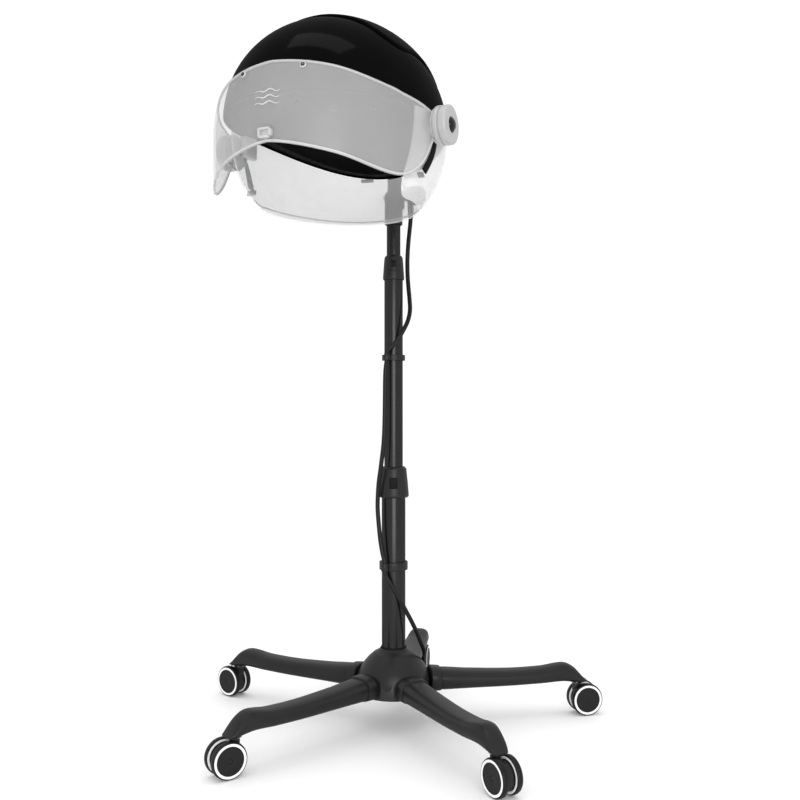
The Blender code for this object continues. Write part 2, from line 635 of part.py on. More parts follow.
def build_neck_guard():
    """Translucent apron round the back of the hood, from ear to ear."""
    columns, rows = 24, 5
    bm = bmesh.new()
    bmesh.ops.create_grid(bm, x_segments=columns, y_segments=rows, size=1.0)
    sweep = 2 * (math.pi - GUARD_START)
    for vert in bm.verts:
        azimuth = GUARD_START + sweep * (vert.co.x + 1) / 2
        vert.co = guard_surface(azimuth, (1 - vert.co.y) / 2)
    bmesh.ops.recalc_face_normals(bm, faces=bm.faces)
    face_outwards(bm)
    guard = add_bmesh("neck_guard", bm, FROSTED)
    solidify(guard, GUARD_WALL)
    hole = rod("guard_holes", 0.0068, (-0.2, EAR_AXIS.y, EAR_AXIS.z), (0.2, EAR_AXIS.y, EAR_AXIS.z),
               None, segments=14)
    return combine(guard, hole, "DIFFERENCE")


def face_outwards(bm):
    """Turn an open shell so that its faces look away from the hood's middle."""
    bm.faces.ensure_lookup_table()
    face = bm.faces[len(bm.faces) // 2]
    if face.normal.dot(face.calc_center_median() - HOOD_CENTRE) < 0:
        bmesh.ops.reverse_faces(bm, faces=bm.faces)


def visor_surface(angle, share):
    """Point of the visor's outer face; angle from the front, share 0 bottom to 1 top."""
    degrees = abs(math.degrees(angle))
    low = through(VISOR_ANGLES, VISOR_LOWER, degrees)
    high = through(VISOR_ANGLES, VISOR_UPPER, degrees)
    height = low + (high - low) * share
    inset = VISOR_TOP_INSET * (max(height, 0.0) / VISOR_UPPER[0]) ** 1.5
    return EAR_AXIS + Vector(((VISOR_HALF_WIDTH - inset) * math.sin(angle),
                              -(VISOR_REACH - inset) * math.cos(angle), height))


def build_visor():
    """Frosted visor that lifts about the ear axis, with its finger tab."""
    columns, rows = 28, 4
    bm = bmesh.new()
    bmesh.ops.create_grid(bm, x_segments=columns, y_segments=rows, size=1.0)
    for vert in bm.verts:
        vert.co = visor_surface(vert.co.x * math.pi / 2, (vert.co.y + 1) / 2)
    bmesh.ops.recalc_face_normals(bm, faces=bm.faces)
    face_outwards(bm)
    visor = add_bmesh("visor", bm, FROSTED, EAR_AXIS)
    solidify(visor, VISOR_WALL)
    outer = VISOR_HALF_WIDTH
    for side in (-1, 1):
        disc = rod(f"visor_ear_{side + 1}", 0.0235, (side * (outer - VISOR_WALL), EAR_AXIS.y, EAR_AXIS.z),
                   (side * (outer + 0.0002), EAR_AXIS.y, EAR_AXIS.z), None, segments=20)
        combine(visor, disc, "UNION")
    tab_y = EAR_AXIS.y - VISOR_REACH
    tab = box("visor_tab", (-0.0095, tab_y - 0.006, EAR_AXIS.z - 0.0400),
              (0.0095, tab_y + 0.0010, EAR_AXIS.z - 0.0270), None)
    combine(visor, tab, "UNION")
    hole = rod("visor_holes", 0.0064, (-0.2, EAR_AXIS.y, EAR_AXIS.z), (0.2, EAR_AXIS.y, EAR_AXIS.z),
               None, segments=14)
    return combine(visor, hole, "DIFFERENCE")


def build_visor_screws():
    for side, word in ((-1, "right"), (1, "left")):
        angle = side * math.radians(16.7)
        share = 0.94
        seat = visor_surface(angle, share)
        normal = Vector((math.sin(angle), -math.cos(angle), 0.28)).normalized()
        turned(f"visor_screw_{word}", [(0.0, 0.0018), (0.0018, 0.0015), (0.0027, 0.0),
                                       (0.0, 0.0)], STEEL, seat + normal * 0.0009, normal,
               segments=12)


def guard_arm(name, side):
    """Flat arm that follows the guard's outer face down from the ear."""
    bm = bmesh.new()
    rings = []
    for i, (y, z, half_width) in enumerate(ARM_ROUTE):
        before = Vector(ARM_ROUTE[max(i - 1, 0)][:2])
        after = Vector(ARM_ROUTE[min(i + 1, len(ARM_ROUTE) - 1)][:2])
        heading = (after - before).normalized()
        ring = []
        for edge, out in ((-1, ARM_NEAR), (1, ARM_NEAR), (1, ARM_FAR), (-1, ARM_FAR)):
            depth = y - heading.y * half_width * edge
            height = z + heading.x * half_width * edge
            narrow = guard_narrowing(RIM_EARS - 0.0010, height)
            reach = (depth - HOOD_CENTRE.y) / (GUARD_SEMI[1] * narrow)
            width = GUARD_SEMI[0] * narrow * math.sqrt(1 - reach ** 2)
            ring.append(bm.verts.new((side * (width + out), depth, height)))
        rings.append(ring)
    for a, b in zip(rings, rings[1:]):
        for k in range(4):
            bm.faces.new((a[k], a[(k + 1) % 4], b[(k + 1) % 4], b[k]))
    bm.faces.new(rings[0])
    bm.faces.new(rings[-1])
    bmesh.ops.recalc_face_normals(bm, faces=bm.faces)
    return add_bmesh(name, bm, None)


def build_ears():
    """Boss, shaft and guard arm, thumb knob and cap outside, one set at each ear."""
    for side, word in ((-1, "right"), (1, "left")):
        out = X_AXIS * side
        boss = box(f"ear_boss_{word}", (min(0.1355 * side, 0.1448 * side), EAR_AXIS.y - 0.014, 0.8725),
                   (max(0.1355 * side, 0.1448 * side), EAR_AXIS.y + 0.014, 0.9035), MATT_BLACK)
        shaft = rod(f"ear_shaft_{word}", 0.0060, (0.1400 * side, EAR_AXIS.y, EAR_AXIS.z),
                    (0.1705 * side, EAR_AXIS.y, EAR_AXIS.z), None, segments=14)
        combine(boss, shaft, "UNION")
        combine(boss, guard_arm(f"ear_arm_{word}", side), "UNION")
        seat = Vector((KNOB_SEAT * side, EAR_AXIS.y, EAR_AXIS.z))
        knob = [(0.0, KNOB_HEIGHT - 0.0018), (0.0088, KNOB_HEIGHT - 0.0018), (0.0088, KNOB_HEIGHT),
                (0.0250, KNOB_HEIGHT), (0.0265, KNOB_HEIGHT - 0.0020), (0.0265, 0.0090),
                (0.0245, 0.0083), (0.0245, 0.0070), (0.0265, 0.0062), (0.0265, 0.0),
                (0.0064, 0.0), (0.0064, 0.0085), (0.0, 0.0085)]
        turned(f"ear_knob_{word}", knob, LIGHT_GREY, seat, out, segments=20)
        cap = [(0.0, 0.0046), (0.0045, 0.0040), (0.0075, 0.0022), (0.0083, 0.0003), (0.0, 0.0003)]
        turned(f"ear_cap_{word}", cap, GLOSS_BLACK, seat + out * (KNOB_HEIGHT - 0.0018), out,
               segments=16)


# ================================================================ cord
def smooth_points(route, step):
    """Even points on a Catmull-Rom curve through the route."""
    knots = [Vector(p) for p in route]
    fine = []
    for i in range(len(knots) - 1):
        before = knots[max(i - 1, 0)]
        after = knots[min(i + 2, len(knots) - 1)]
        a, b = knots[i], knots[i + 1]
        for k in range(12):
            t = k / 12
            fine.append(0.5 * (2 * a + (b - before) * t + (2 * before - 5 * a + 4 * b - after) * t * t
                               + (3 * a - before - 3 * b + after) * t ** 3))
    fine.append(knots[-1])
    total = sum((q - p).length for p, q in zip(fine, fine[1:]))
    count = max(2, round(total / step))
    even, walked, target = [fine[0]], 0.0, total / count
    for p, q in zip(fine, fine[1:]):
        length = (q - p).length
        while walked + length >= target - 1e-9 and len(even) < count:
            even.append(p.lerp(q, (target - walked) / length))
            target += total / count
        walked += length
    even.append(fine[-1])
    return even


def cord_tube(name, route, ends_in_clip=True):
    curve = bpy.data.curves.new(name, "CURVE")
    curve.dimensions = "3D"
    curve.bevel_depth = CORD_RADIUS
    curve.bevel_resolution = 2
    curve.use_fill_caps = True
    points = smooth_points([from_column(*p) for p in route], CORD_STEP)
    points.insert(0, points[0] + Z_AXIS * CORD_STUB)
    if ends_in_clip:
        points.append(points[-1] - Z_AXIS * CORD_STUB)
    spline = curve.splines.new("POLY")
    spline.points.add(len(points) - 1)
    for slot, point in zip(spline.points, points):
        slot.co = (*point, 1.0)
    return add_object(name, curve, BLACK_RUBBER)


def build_cord():
    gland = from_column(*UPPER_ROUTE[0]) + Z_AXIS * CORD_STUB
    turned("cord_gland", [(0.0, 0.0263), (0.0052, 0.0263), (0.0052, 0.0210), (0.0041, GAP),
                          (0.0, GAP)], BLACK_RUBBER, gland, segments=14)
    cord_tube("cord_upper", UPPER_ROUTE)
    cord_tube("cord_middle", MIDDLE_ROUTE)
    cord_tube("cord_lower", LOWER_ROUTE, ends_in_clip=False)
    centre = from_column(*COIL_CENTRE, 0.0002)
    turned("cord_coil", [(COIL_OUTER, COIL_HEIGHT), (COIL_OUTER, 0.0), (COIL_INNER, 0.0),
                         (COIL_INNER, COIL_HEIGHT)], BLACK_RUBBER, centre, segments=24, closed=True)


def build_plug():
    """Two-pin plug lying beside the coil, at the end of its outermost turn."""
    towards = from_column(-1, 0, 0)
    start = from_column(*PLUG_START)
    body = turned("plug", [(0.0, 0.040), (0.0085, 0.040), (0.0100, 0.036), (0.0100, 0.020),
                           (0.0060, 0.010), (0.0046, 0.0), (0.0, 0.0)], BLACK_RUBBER, start,
                  towards, segments=16)
    for side in (-0.0045, 0.0045):
        offset = from_column(0, side, 0)
        pin = rod(f"plug_pin_{side > 0}", 0.0020, start + towards * 0.039 + offset,
                  start + towards * 0.055 + offset, None, segments=8)
        combine(body, pin, "UNION")
    return body


# ================================================================ whole object
BLACK_PLASTIC = ((0.030, 0.030, 0.032), 0.50)
MATT_BLACK = ((0.020, 0.020, 0.022), 0.60)
GLOSS_BLACK = ((0.008, 0.008, 0.009), 0.12)
BLACK_METAL = ((0.030, 0.030, 0.033), 0.35, 0.4)
BLACK_RUBBER = ((0.020, 0.020, 0.020), 0.70)
LIGHT_GREY = ((0.620, 0.620, 0.620), 0.40)
STEEL = ((0.550, 0.550, 0.560), 0.30, 1.0)
FROSTED = ((0.780, 0.790, 0.800), 0.35, 0.0, 0.75)

clear_scene()
PARTS = new_collection("hood_hair_dryer")
CUTTERS = new_collection("cutters")
COLUMN = bpy.data.objects.new("column_axis", None)
bpy.context.scene.collection.objects.link(COLUMN)
COLUMN.location = (COLUMN_X, COLUMN_Y, 0)

build_hub()
build_legs()
for index in range(LEG_COUNT):
    build_caster(index)
build_tubes()
build_collars()
build_clip("lower_clip", LOWER_TUBE_RADIUS + GAP, 0.0229, LOWER_CLIP_Z, (-0.0137, -0.0225), 0.0058)
build_clip("upper_clip", MIDDLE_TUBE_RADIUS + GAP, 0.0186, UPPER_CLIP_Z, (-0.0110, -0.0213), 0.0062)
build_pole_head()
build_tilt_bolt_and_knob()
build_tilt_arm()
build_outer_dome()
build_top_cover()
build_inner_shell()
build_blower()
build_console()
build_neck_guard()
build_visor()
build_visor_screws()
build_ears()
build_cord()
build_plug()
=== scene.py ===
"""Looks of the hood hair dryer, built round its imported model."""
import math

import bmesh
import bpy
from mathutils import Matrix, Vector


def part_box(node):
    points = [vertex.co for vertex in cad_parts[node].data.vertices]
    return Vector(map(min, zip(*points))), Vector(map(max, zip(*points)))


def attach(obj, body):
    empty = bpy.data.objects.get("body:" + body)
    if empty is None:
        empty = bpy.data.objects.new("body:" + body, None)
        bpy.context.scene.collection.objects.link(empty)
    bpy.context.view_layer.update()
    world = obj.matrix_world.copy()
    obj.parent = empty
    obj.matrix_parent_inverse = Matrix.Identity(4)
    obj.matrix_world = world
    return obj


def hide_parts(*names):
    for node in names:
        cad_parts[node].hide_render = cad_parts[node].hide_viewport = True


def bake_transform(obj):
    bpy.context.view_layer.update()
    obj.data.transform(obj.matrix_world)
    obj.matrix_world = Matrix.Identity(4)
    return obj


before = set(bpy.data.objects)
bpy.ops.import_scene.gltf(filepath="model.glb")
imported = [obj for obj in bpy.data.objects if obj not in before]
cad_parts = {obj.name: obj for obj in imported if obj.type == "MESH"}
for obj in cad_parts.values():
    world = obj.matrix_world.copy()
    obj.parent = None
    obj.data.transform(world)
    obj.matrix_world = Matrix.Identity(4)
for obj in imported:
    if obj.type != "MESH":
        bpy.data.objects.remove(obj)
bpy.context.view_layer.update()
scene = bpy.context.scene


def middle(node):
    low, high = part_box(node)
    return (Vector(low) + Vector(high)) / 2


# ---- driving sizes
COLUMN = middle("lower_tube").xy.to_3d()   # the column's axis at floor level
FACING = math.radians(25)                  # way the buttons and clips face, from -Y
UP = Vector((0, 0, 1))
SIDE = Vector((1, 0, 0))
SIDES = ((-1, "right"), (1, "left"))
ON_COLUMN = Matrix.Translation(COLUMN)
FACED = ON_COLUMN @ Matrix.Rotation(FACING, 4, "Z")

LENS = 43.07
CAMERA_SPOT = (0.0103, -1.534, 0.517)      # side, depth and height, as seen() takes them

LEG_COUNT = 5
FIRST_LEG = FACING + math.radians(80.5)
STEM_REACH = 0.305
LEG_STATIONS = (   # distance out, underside, top, half width
    (0.0768, 0.0520, 0.0850, 0.0236), (0.1200, 0.0525, 0.0815, 0.0225),
    (0.1900, 0.0530, 0.0785, 0.0215), (0.2450, 0.0545, 0.0800, 0.0205),
    (0.2780, 0.0560, 0.0848, 0.0185), (0.2900, 0.0548, 0.0832, 0.0168),
    (0.3020, 0.0535, 0.0755, 0.0155), (0.3110, 0.0535, 0.0652, 0.0145),
    (0.3190, 0.0540, 0.0575, 0.0110),
)
LEG_COLLAR = ((0.0505, 0.0888, 0.0262), (0.0508, 0.0875, 0.0255))   # underside, top, half width
WHEEL_RADIUS = 0.026
WHEEL_WIDTH = 0.0105
CASTER_HALF_WIDTH = 0.017
CASTER_TRAIL = 0.0135
CASTER_HEADINGS = tuple(math.radians(a) for a in (285, 168, 239, 326.5, 36.5))

HOOD = Vector((0.0, -0.186, 0.899))
DOME = Vector((0.153, 0.176, 0.1505))
INNER = Vector((0.134, 0.157, 0.103))
EAR = Vector((0.0, -0.201, 0.884))
PIVOT = Vector((0.0, 0.004, 0.842))
RIM_REAR = 0.868
RIM_EARS = 0.905
VISOR_HALF_WIDTH = 0.162
VISOR_REACH = 0.171
VISOR_WALL = 0.003
VISOR_TOP_INSET = 0.011
VISOR_ANGLES = (0, 30, 60, 75, 90)
VISOR_LOWER = (-0.044, -0.060, -0.081, -0.062, -0.008)
VISOR_UPPER = (0.0615, 0.052, 0.031, 0.022, 0.014)
GUARD_SEMI = (0.153, 0.1725)
GUARD_WALL = 0.0025
GUARD_START = math.radians(72)
GUARD_CORNER = 0.030
GUARD_TAPER = 0.27
GUARD_TAPER_POWER = 2.3
GUARD_FLOOR_REAR = 0.787
GUARD_FLOOR_EARS = 0.791
ARM_ROUTE = (   # half width, depth, height
    (0.0045, -0.2020, 0.8920), (0.0048, -0.1960, 0.8780), (0.0055, -0.1900, 0.8620),
    (0.0064, -0.1910, 0.8450), (0.0070, -0.1965, 0.8270),
)
CONSOLE_TILT = math.radians(35)
CONSOLE_OUT = Vector((0, math.cos(CONSOLE_TILT), math.sin(CONSOLE_TILT)))
CONSOLE_UP = Vector((0, -math.sin(CONSOLE_TILT), math.cos(CONSOLE_TILT)))
CONSOLE_AXIS = Vector((0, DOME.y * CONSOLE_OUT.y, DOME.z * CONSOLE_OUT.z)).normalized()
CONSOLE_BASE = COLUMN + HOOD + Vector((0, DOME.y * CONSOLE_AXIS.y, DOME.z * CONSOLE_AXIS.z))
ON_CONSOLE = Matrix.Translation(CONSOLE_BASE) @ Matrix((
    (1, 0, 0, 0),
    (0, CONSOLE_OUT.y, CONSOLE_UP.y, 0),
    (0, CONSOLE_OUT.z, CONSOLE_UP.z, 0),
    (0, 0, 0, 1)))

CORD_DIAMETER = 0.007
COIL_CENTRE = (-0.030, 0.200)
COIL_TURNS = ((0.0420, 0.0037), (0.0350, 0.0037), (0.0350, 0.0107), (0.0420, 0.0107))
UPPER_ROUTE = (
    (0.0275, 0.0203, 0.8115), (0.0275, 0.0203, 0.8095), (0.0265, 0.0201, 0.7980),
    (0.0246, 0.0185, 0.7800), (0.0230, 0.0165, 0.7600), (0.0222, 0.0140, 0.7380),
    (0.0227, 0.0110, 0.7160), (0.0241, 0.0060, 0.6960), (0.0256, 0.0000, 0.6780),
    (0.0262, -0.0075, 0.6600), (0.0228, -0.0145, 0.6430), (0.0150, -0.0195, 0.6262),
    (0.0040, -0.0222, 0.6087), (-0.0072, -0.0222, 0.5980), (-0.0110, -0.0213, 0.5915),
    (-0.0110, -0.0213, 0.5870),
)
MIDDLE_ROUTE = (
    (-0.0110, -0.0213, 0.5830), (-0.0110, -0.0213, 0.5777), (-0.0120, -0.0225, 0.5700),
    (-0.0130, -0.0235, 0.5550), (-0.0135, -0.0240, 0.5200), (-0.0140, -0.0245, 0.4850),
    (-0.0155, -0.0240, 0.4500), (-0.0195, -0.0215, 0.4150), (-0.0235, -0.0165, 0.3850),
    (-0.0250, -0.0142, 0.3620), (-0.0252, -0.0140, 0.3450), (-0.0240, -0.0150, 0.3260),
    (-0.0210, -0.0182, 0.2960), (-0.0170, -0.0210, 0.2730), (-0.0137, -0.0225, 0.2613),
    (-0.0137, -0.0225, 0.2540),
)
LOWER_ROUTE = (
    (-0.0137, -0.0225, 0.2500), (-0.0137, -0.0225, 0.2437), (-0.0105, -0.0240, 0.2365),
    (-0.0040, -0.0250, 0.2265), (0.0060, -0.0250, 0.2090), (0.0182, -0.0235, 0.1870),
    (0.0290, -0.0205, 0.1660), (0.0375, -0.0140, 0.1470), (0.0440, -0.0030, 0.1290),
    (0.0490, 0.0120, 0.1125), (0.0500, 0.0300, 0.0980), (0.0475, 0.0455, 0.0800),
    (0.0480, 0.0600, 0.0560), (0.0510, 0.0750, 0.0310), (0.0530, 0.0895, 0.0120),
    (0.0520, 0.1040, 0.0046), (0.0460, 0.1210, 0.0038), (0.0370, 0.1370, 0.0038),
    (0.0280, 0.1530, 0.0038), (0.0217, 0.1700, 0.0038),
)
PLUG_START = (-0.0612, 0.2385, 0.0105)


# ---- places and curves
def at(x, y, z):
    return COLUMN + Vector((x, y, z))


def seen(side, depth, height=0.0):
    """Point given by side and depth as seen from the FACING direction."""
    return at(side * math.cos(FACING) - depth * math.sin(FACING),
              side * math.sin(FACING) + depth * math.cos(FACING), height)


def ear_at(side):
    """Point on the axis of the visor's hinge."""
    return at(side, EAR.y, EAR.z)


def level(vector):
    """Horizontal unit vector the way a vector points."""
    return vector.to_2d().to_3d().normalized()


def spline(points, per_span):
    """Catmull-Rom curve through the points, as a list of points."""
    points = [Vector(p) for p in points]
    curve = []
    for i in range(len(points) - 1):
        a, b = points[i], points[i + 1]
        before, after = points[max(i - 1, 0)], points[min(i + 2, len(points) - 1)]
        for k in range(per_span):
            t = k / per_span
            curve.append(0.5 * (2 * a + (b - before) * t + (2 * before - 5 * a + 4 * b - after) * t * t
                                + (3 * a - before - 3 * b + after) * t ** 3))
    curve.append(points[-1])
    return curve


def through(positions, values, at_position):
    """Catmull-Rom value through given values."""
    last = len(positions) - 1
    i = max(0, min(last - 1, sum(1 for p in positions[1:] if p <= at_position)))
    t = (at_position - positions[i]) / (positions[i + 1] - positions[i])
    before, after = values[max(i - 1, 0)], values[min(i + 2, last)]
    a, b = values[i], values[i + 1]
    return 0.5 * (2 * a + (b - before) * t + (2 * before - 5 * a + 4 * b - after) * t * t
                  + (3 * a - before - 3 * b + after) * t ** 3)


# ---- materials
def material(name, colour, roughness, grain=900.0, bump=0.08, mottle=0.12, rough_span=0.08,
             metallic=0.0, alpha=1.0, scratches=0.0, specular=0.5, coat=0.0, coat_roughness=0.1,
             coat_ior=1.5):
    """Moulded or coated surface: fine grain, slow mottling and uneven gloss."""
    mat = bpy.data.materials.new(name)
    mat.use_nodes = True
    nodes, links = mat.node_tree.nodes, mat.node_tree.links
    shader = nodes["Principled BSDF"]
    for socket, value in (("Metallic", metallic), ("Alpha", alpha), ("Specular IOR Level", specular),
                          ("Coat Weight", coat), ("Coat Roughness", coat_roughness),
                          ("Coat IOR", coat_ior)):
        shader.inputs[socket].default_value = value
    place = nodes.new("ShaderNodeTexCoord")
    slow = nodes.new("ShaderNodeTexNoise")
    slow.inputs["Scale"].default_value = 22.0
    slow.inputs["Detail"].default_value = 5.0
    fine = nodes.new("ShaderNodeTexNoise")
    fine.inputs["Scale"].default_value = grain
    fine.inputs["Detail"].default_value = 3.0
    links.new(place.outputs["Object"], slow.inputs["Vector"])
    links.new(place.outputs["Object"], fine.inputs["Vector"])
    tint = nodes.new("ShaderNodeValToRGB")
    tint.color_ramp.elements[0].position = 0.30
    tint.color_ramp.elements[1].position = 0.70
    tint.color_ramp.elements[0].color = (*[c * (1 - mottle) for c in colour], 1)
    tint.color_ramp.elements[1].color = (*[min(c * (1 + mottle), 1) for c in colour], 1)
    links.new(slow.outputs["Fac"], tint.inputs["Fac"])
    links.new(tint.outputs["Color"], shader.inputs["Base Color"])
    gloss = nodes.new("ShaderNodeMapRange")
    gloss.inputs["To Min"].default_value = max(roughness - rough_span, 0.02)
    gloss.inputs["To Max"].default_value = min(roughness + rough_span, 1.0)
    mixed = nodes.new("ShaderNodeMath")
    mixed.operation = "MULTIPLY_ADD"
    mixed.inputs[1].default_value = 0.5
    links.new(fine.outputs["Fac"], mixed.inputs[0])
    half = nodes.new("ShaderNodeMath")
    half.operation = "MULTIPLY"
    half.inputs[1].default_value = 0.5
    links.new(slow.outputs["Fac"], half.inputs[0])
    links.new(half.outputs[0], mixed.inputs[2])
    links.new(mixed.outputs[0], gloss.inputs["Value"])
    links.new(gloss.outputs["Result"], shader.inputs["Roughness"])
    relief = nodes.new("ShaderNodeBump")
    relief.inputs["Strength"].default_value = bump
    relief.inputs["Distance"].default_value = 0.0002
    links.new(fine.outputs["Fac"], relief.inputs["Height"])
    last = relief
    if scratches:
        streaks = nodes.new("ShaderNodeMapping")
        streaks.inputs["Scale"].default_value = (1.0, 1.0, 0.04)
        lines = nodes.new("ShaderNodeTexNoise")
        lines.inputs["Scale"].default_value = 600.0
        links.new(place.outputs["Object"], streaks.inputs["Vector"])
        links.new(streaks.outputs["Vector"], lines.inputs["Vector"])
        brushed = nodes.new("ShaderNodeBump")
        brushed.inputs["Strength"].default_value = scratches
        brushed.inputs["Distance"].default_value = 0.0001
        links.new(lines.outputs["Fac"], brushed.inputs["Height"])
        links.new(relief.outputs["Normal"], brushed.inputs["Normal"])
        last = brushed
    links.new(last.outputs["Normal"], shader.inputs["Normal"])
    if coat:
        links.new(last.outputs["Normal"], shader.inputs["Coat Normal"])
    return mat


def black(name, shade, roughness, coat, coat_roughness, blue=0.0005, **more):
    """Black plastic or lacquer: a dark ground that gets its gloss from a thin coat."""
    return material(name, (shade, shade, shade + blue), roughness, specular=0.0, coat=coat,
                    coat_roughness=coat_roughness, **more)


BLACK = black("satin_black_plastic", 0.0110, 0.45, 0.45, 0.36, grain=1400, bump=0.25)
# Same black plastic as the hub, coloured lighter: painted light where the panels face the front lamp.
PANEL_PAINTED_LIGHT = black("hub_panel_black_painted_light", 0.0200, 0.45, 0.55, 0.36, grain=1400, bump=0.25)
MATT = black("matt_black_plastic", 0.0060, 0.55, 0.12, 0.45, grain=1600, bump=0.3)
COLUMN_BLACK = black("black_powder_coat", 0.0055, 0.35, 0.17, 0.20, grain=1800, bump=0.15,
                     mottle=0.18, coat_ior=2.2)
SHINY = black("polished_black_plastic", 0.0017, 0.20, 0.055, 0.10, blue=0.0002, grain=60, bump=0.01,
              mottle=0.2)
CAP = black("knob_cap", 0.0020, 0.20, 0.6, 0.08, blue=0.0002, grain=60, bump=0.02, mottle=0.2)
RUBBER = black("cord_sheath", 0.0080, 0.5, 0.35, 0.35, grain=2200, bump=0.35)
TREAD = black("nylon_tread", 0.0060, 0.4, 0.4, 0.34, grain=1500, bump=0.3)
DISC = black("wheel_disc", 0.0085, 0.45, 0.4, 0.38, grain=1500, bump=0.2)
RING = material("pale_wheel_ring", (0.80, 0.80, 0.79), 0.35, grain=900, bump=0.1, mottle=0.04)
PALE = material("pale_grey_plastic", (0.36, 0.36, 0.362), 0.34, grain=1200, bump=0.12, mottle=0.05)
CLAMP = material("grey_clamp_plastic", (0.20, 0.20, 0.202), 0.4, grain=1200, bump=0.12, mottle=0.06)
STEEL = material("brushed_steel", (0.56, 0.56, 0.57), 0.28, grain=900, bump=0.05, mottle=0.06,
                 metallic=1.0, scratches=0.35)
COPPER = material("heater_wire", (0.60, 0.45, 0.36), 0.35, metallic=1.0, scratches=0.4)
BRASS = material("plug_pins", (0.72, 0.60, 0.36), 0.25, metallic=1.0, scratches=0.2)
SMOKED = material("smoked_visor", (0.50, 0.50, 0.502), 0.28, grain=500, bump=0.02, mottle=0.03,
                  rough_span=0.05, alpha=0.33, specular=0.4)
VISOR_EDGE = material("visor_rim", (0.58, 0.58, 0.582), 0.28, grain=500, bump=0.04, mottle=0.03,
                      alpha=0.72)
MILKY = material("milky_guard", (0.86, 0.86, 0.865), 0.28, grain=500, bump=0.03, mottle=0.015,
                 rough_span=0.05, alpha=0.36, specular=0.4)
MILKY_EDGE = material("guard_lip", (0.55, 0.55, 0.555), 0.30, grain=500, bump=0.05, mottle=0.03,
                      alpha=0.8)
PRINT = material("white_print", (0.50, 0.50, 0.50), 0.40, grain=1500, bump=0.1, mottle=0.04)
FLOOR = material("studio_floor", (0.97, 0.97, 0.97), 0.6, grain=300, bump=0.02, mottle=0.004,
                 specular=0.1)


# ---- piece helpers
def piece(name, bm, mats, body, stands_for=(), sharp=32):
    """Make an object of a bmesh and set it riding on a body."""
    bmesh.ops.recalc_face_normals(bm, faces=bm.faces)
    mesh = bpy.data.meshes.new(name)
    bm.to_mesh(mesh)
    bm.free()
    for mat in (mats if isinstance(mats, (list, tuple)) else [mats]):
        mesh.materials.append(mat)
    mesh.shade_smooth()
    mesh.set_sharp_from_angle(angle=math.radians(sharp))
    obj = bpy.data.objects.new(name, mesh)
    scene.collection.objects.link(obj)
    if body:
        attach(obj, body)
    if stands_for:
        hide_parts(*stands_for)
    return obj


def fillet(profile, radius, closed=True, arc=3):
    """Round the corners of a profile of (radius, height, mark) points."""
    count = len(profile)
    result = []
    for i, point in enumerate(profile):
        if not closed and i in (0, count - 1):
            result.append(point)
            continue
        here = Vector(point[:2])
        back = Vector(profile[i - 1][:2]) - here
        ahead = Vector(profile[(i + 1) % count][:2]) - here
        if back.length < 1e-6 or ahead.length < 1e-6 or back.angle(-ahead) < math.radians(12):
            result.append(point)
            continue
        cut = min(radius, 0.4 * back.length, 0.4 * ahead.length)
        start, end = here + back.normalized() * cut, here + ahead.normalized() * cut
        mark = point[2] if len(point) > 2 else 0
        for k in range(arc + 1):
            t = k / arc
            spot = start * (1 - t) ** 2 + here * 2 * t * (1 - t) + end * t * t
            result.append((spot.x, spot.y, mark))
    return result


def lathe_bmesh(profile, centre, axis, segments=64, closed=True, lobes=0, lobe_depth=0.0,
                lobe_from=0.0):
    """Spin a profile of (radius, height along axis, material index) round an axis."""
    bm = bmesh.new()
    turn = UP.rotation_difference(Vector(axis)).to_matrix()
    rows = []
    for point in profile:
        radius, height = point[0], point[1]
        if radius < 1e-6:
            rows.append([bm.verts.new(centre + turn @ Vector((0, 0, height)))])
            continue
        row = []
        for k in range(segments):
            angle = math.tau * k / segments
            wave = lobe_depth * (0.5 + 0.5 * math.cos(lobes * angle)) if radius > lobe_from else 0
            r = radius - wave
            row.append(bm.verts.new(centre + turn @ Vector((r * math.cos(angle),
                                                           r * math.sin(angle), height))))
        rows.append(row)
    pairs = list(zip(range(len(rows)), range(1, len(rows))))
    if closed:
        pairs.append((len(rows) - 1, 0))
    for i, j in pairs:
        mark = profile[i][2] if len(profile[i]) > 2 else 0
        a, b = rows[i], rows[j]
        for k in range(segments):
            n = (k + 1) % segments
            ring = [a[k % len(a)], a[n % len(a)], b[n % len(b)], b[k % len(b)]]
            ring = [v for m, v in enumerate(ring) if v not in ring[:m]]
            if len(ring) > 2:
                bm.faces.new(ring).material_index = mark
    return bm


def turned_bmesh(profile, radius, centre, axis, segments):
    """Solid spun from an open profile whose corners are rounded."""
    return lathe_bmesh(fillet(profile, radius, False), centre, axis, segments, closed=False)


def lathe(name, profile, centre, axis, mats, body, stands_for=(), slot=None, segments=64,
          closed=True, radius=0.0008, **lobes):
    smooth = fillet(profile, radius, closed) if radius else profile
    return piece(name, lathe_bmesh(smooth, centre, axis, segments, closed, **lobes), mats, body,
                 stands_for)


def block_bmesh(low, high):
    bm = bmesh.new()
    bmesh.ops.create_cube(bm, size=1.0)
    low, high = Vector(low), Vector(high)
    bmesh.ops.scale(bm, vec=high - low, verts=bm.verts)
    bmesh.ops.translate(bm, vec=(low + high) / 2, verts=bm.verts)
    return bm


def round_edges(bm, width, segments=3):
    bmesh.ops.bevel(bm, geom=list(bm.edges), offset=width, segments=segments, profile=0.5,
                    affect="EDGES", clamp_overlap=True)
    return bm


def moved(bm, matrix):
    bmesh.ops.transform(bm, matrix=matrix, verts=bm.verts)
    return bm


def slab(low, high, rounding, segments=2, place=Matrix()):
    """Block with rounded edges, set in its place."""
    return moved(round_edges(block_bmesh(low, high), rounding, segments), place)


def skin(bm, rings):
    """Faces between neighbouring rings of vertices."""
    for a, b in zip(rings, rings[1:]):
        for k in range(len(a)):
            n = (k + 1) % len(a)
            bm.faces.new((a[k], a[n], b[n], b[k]))


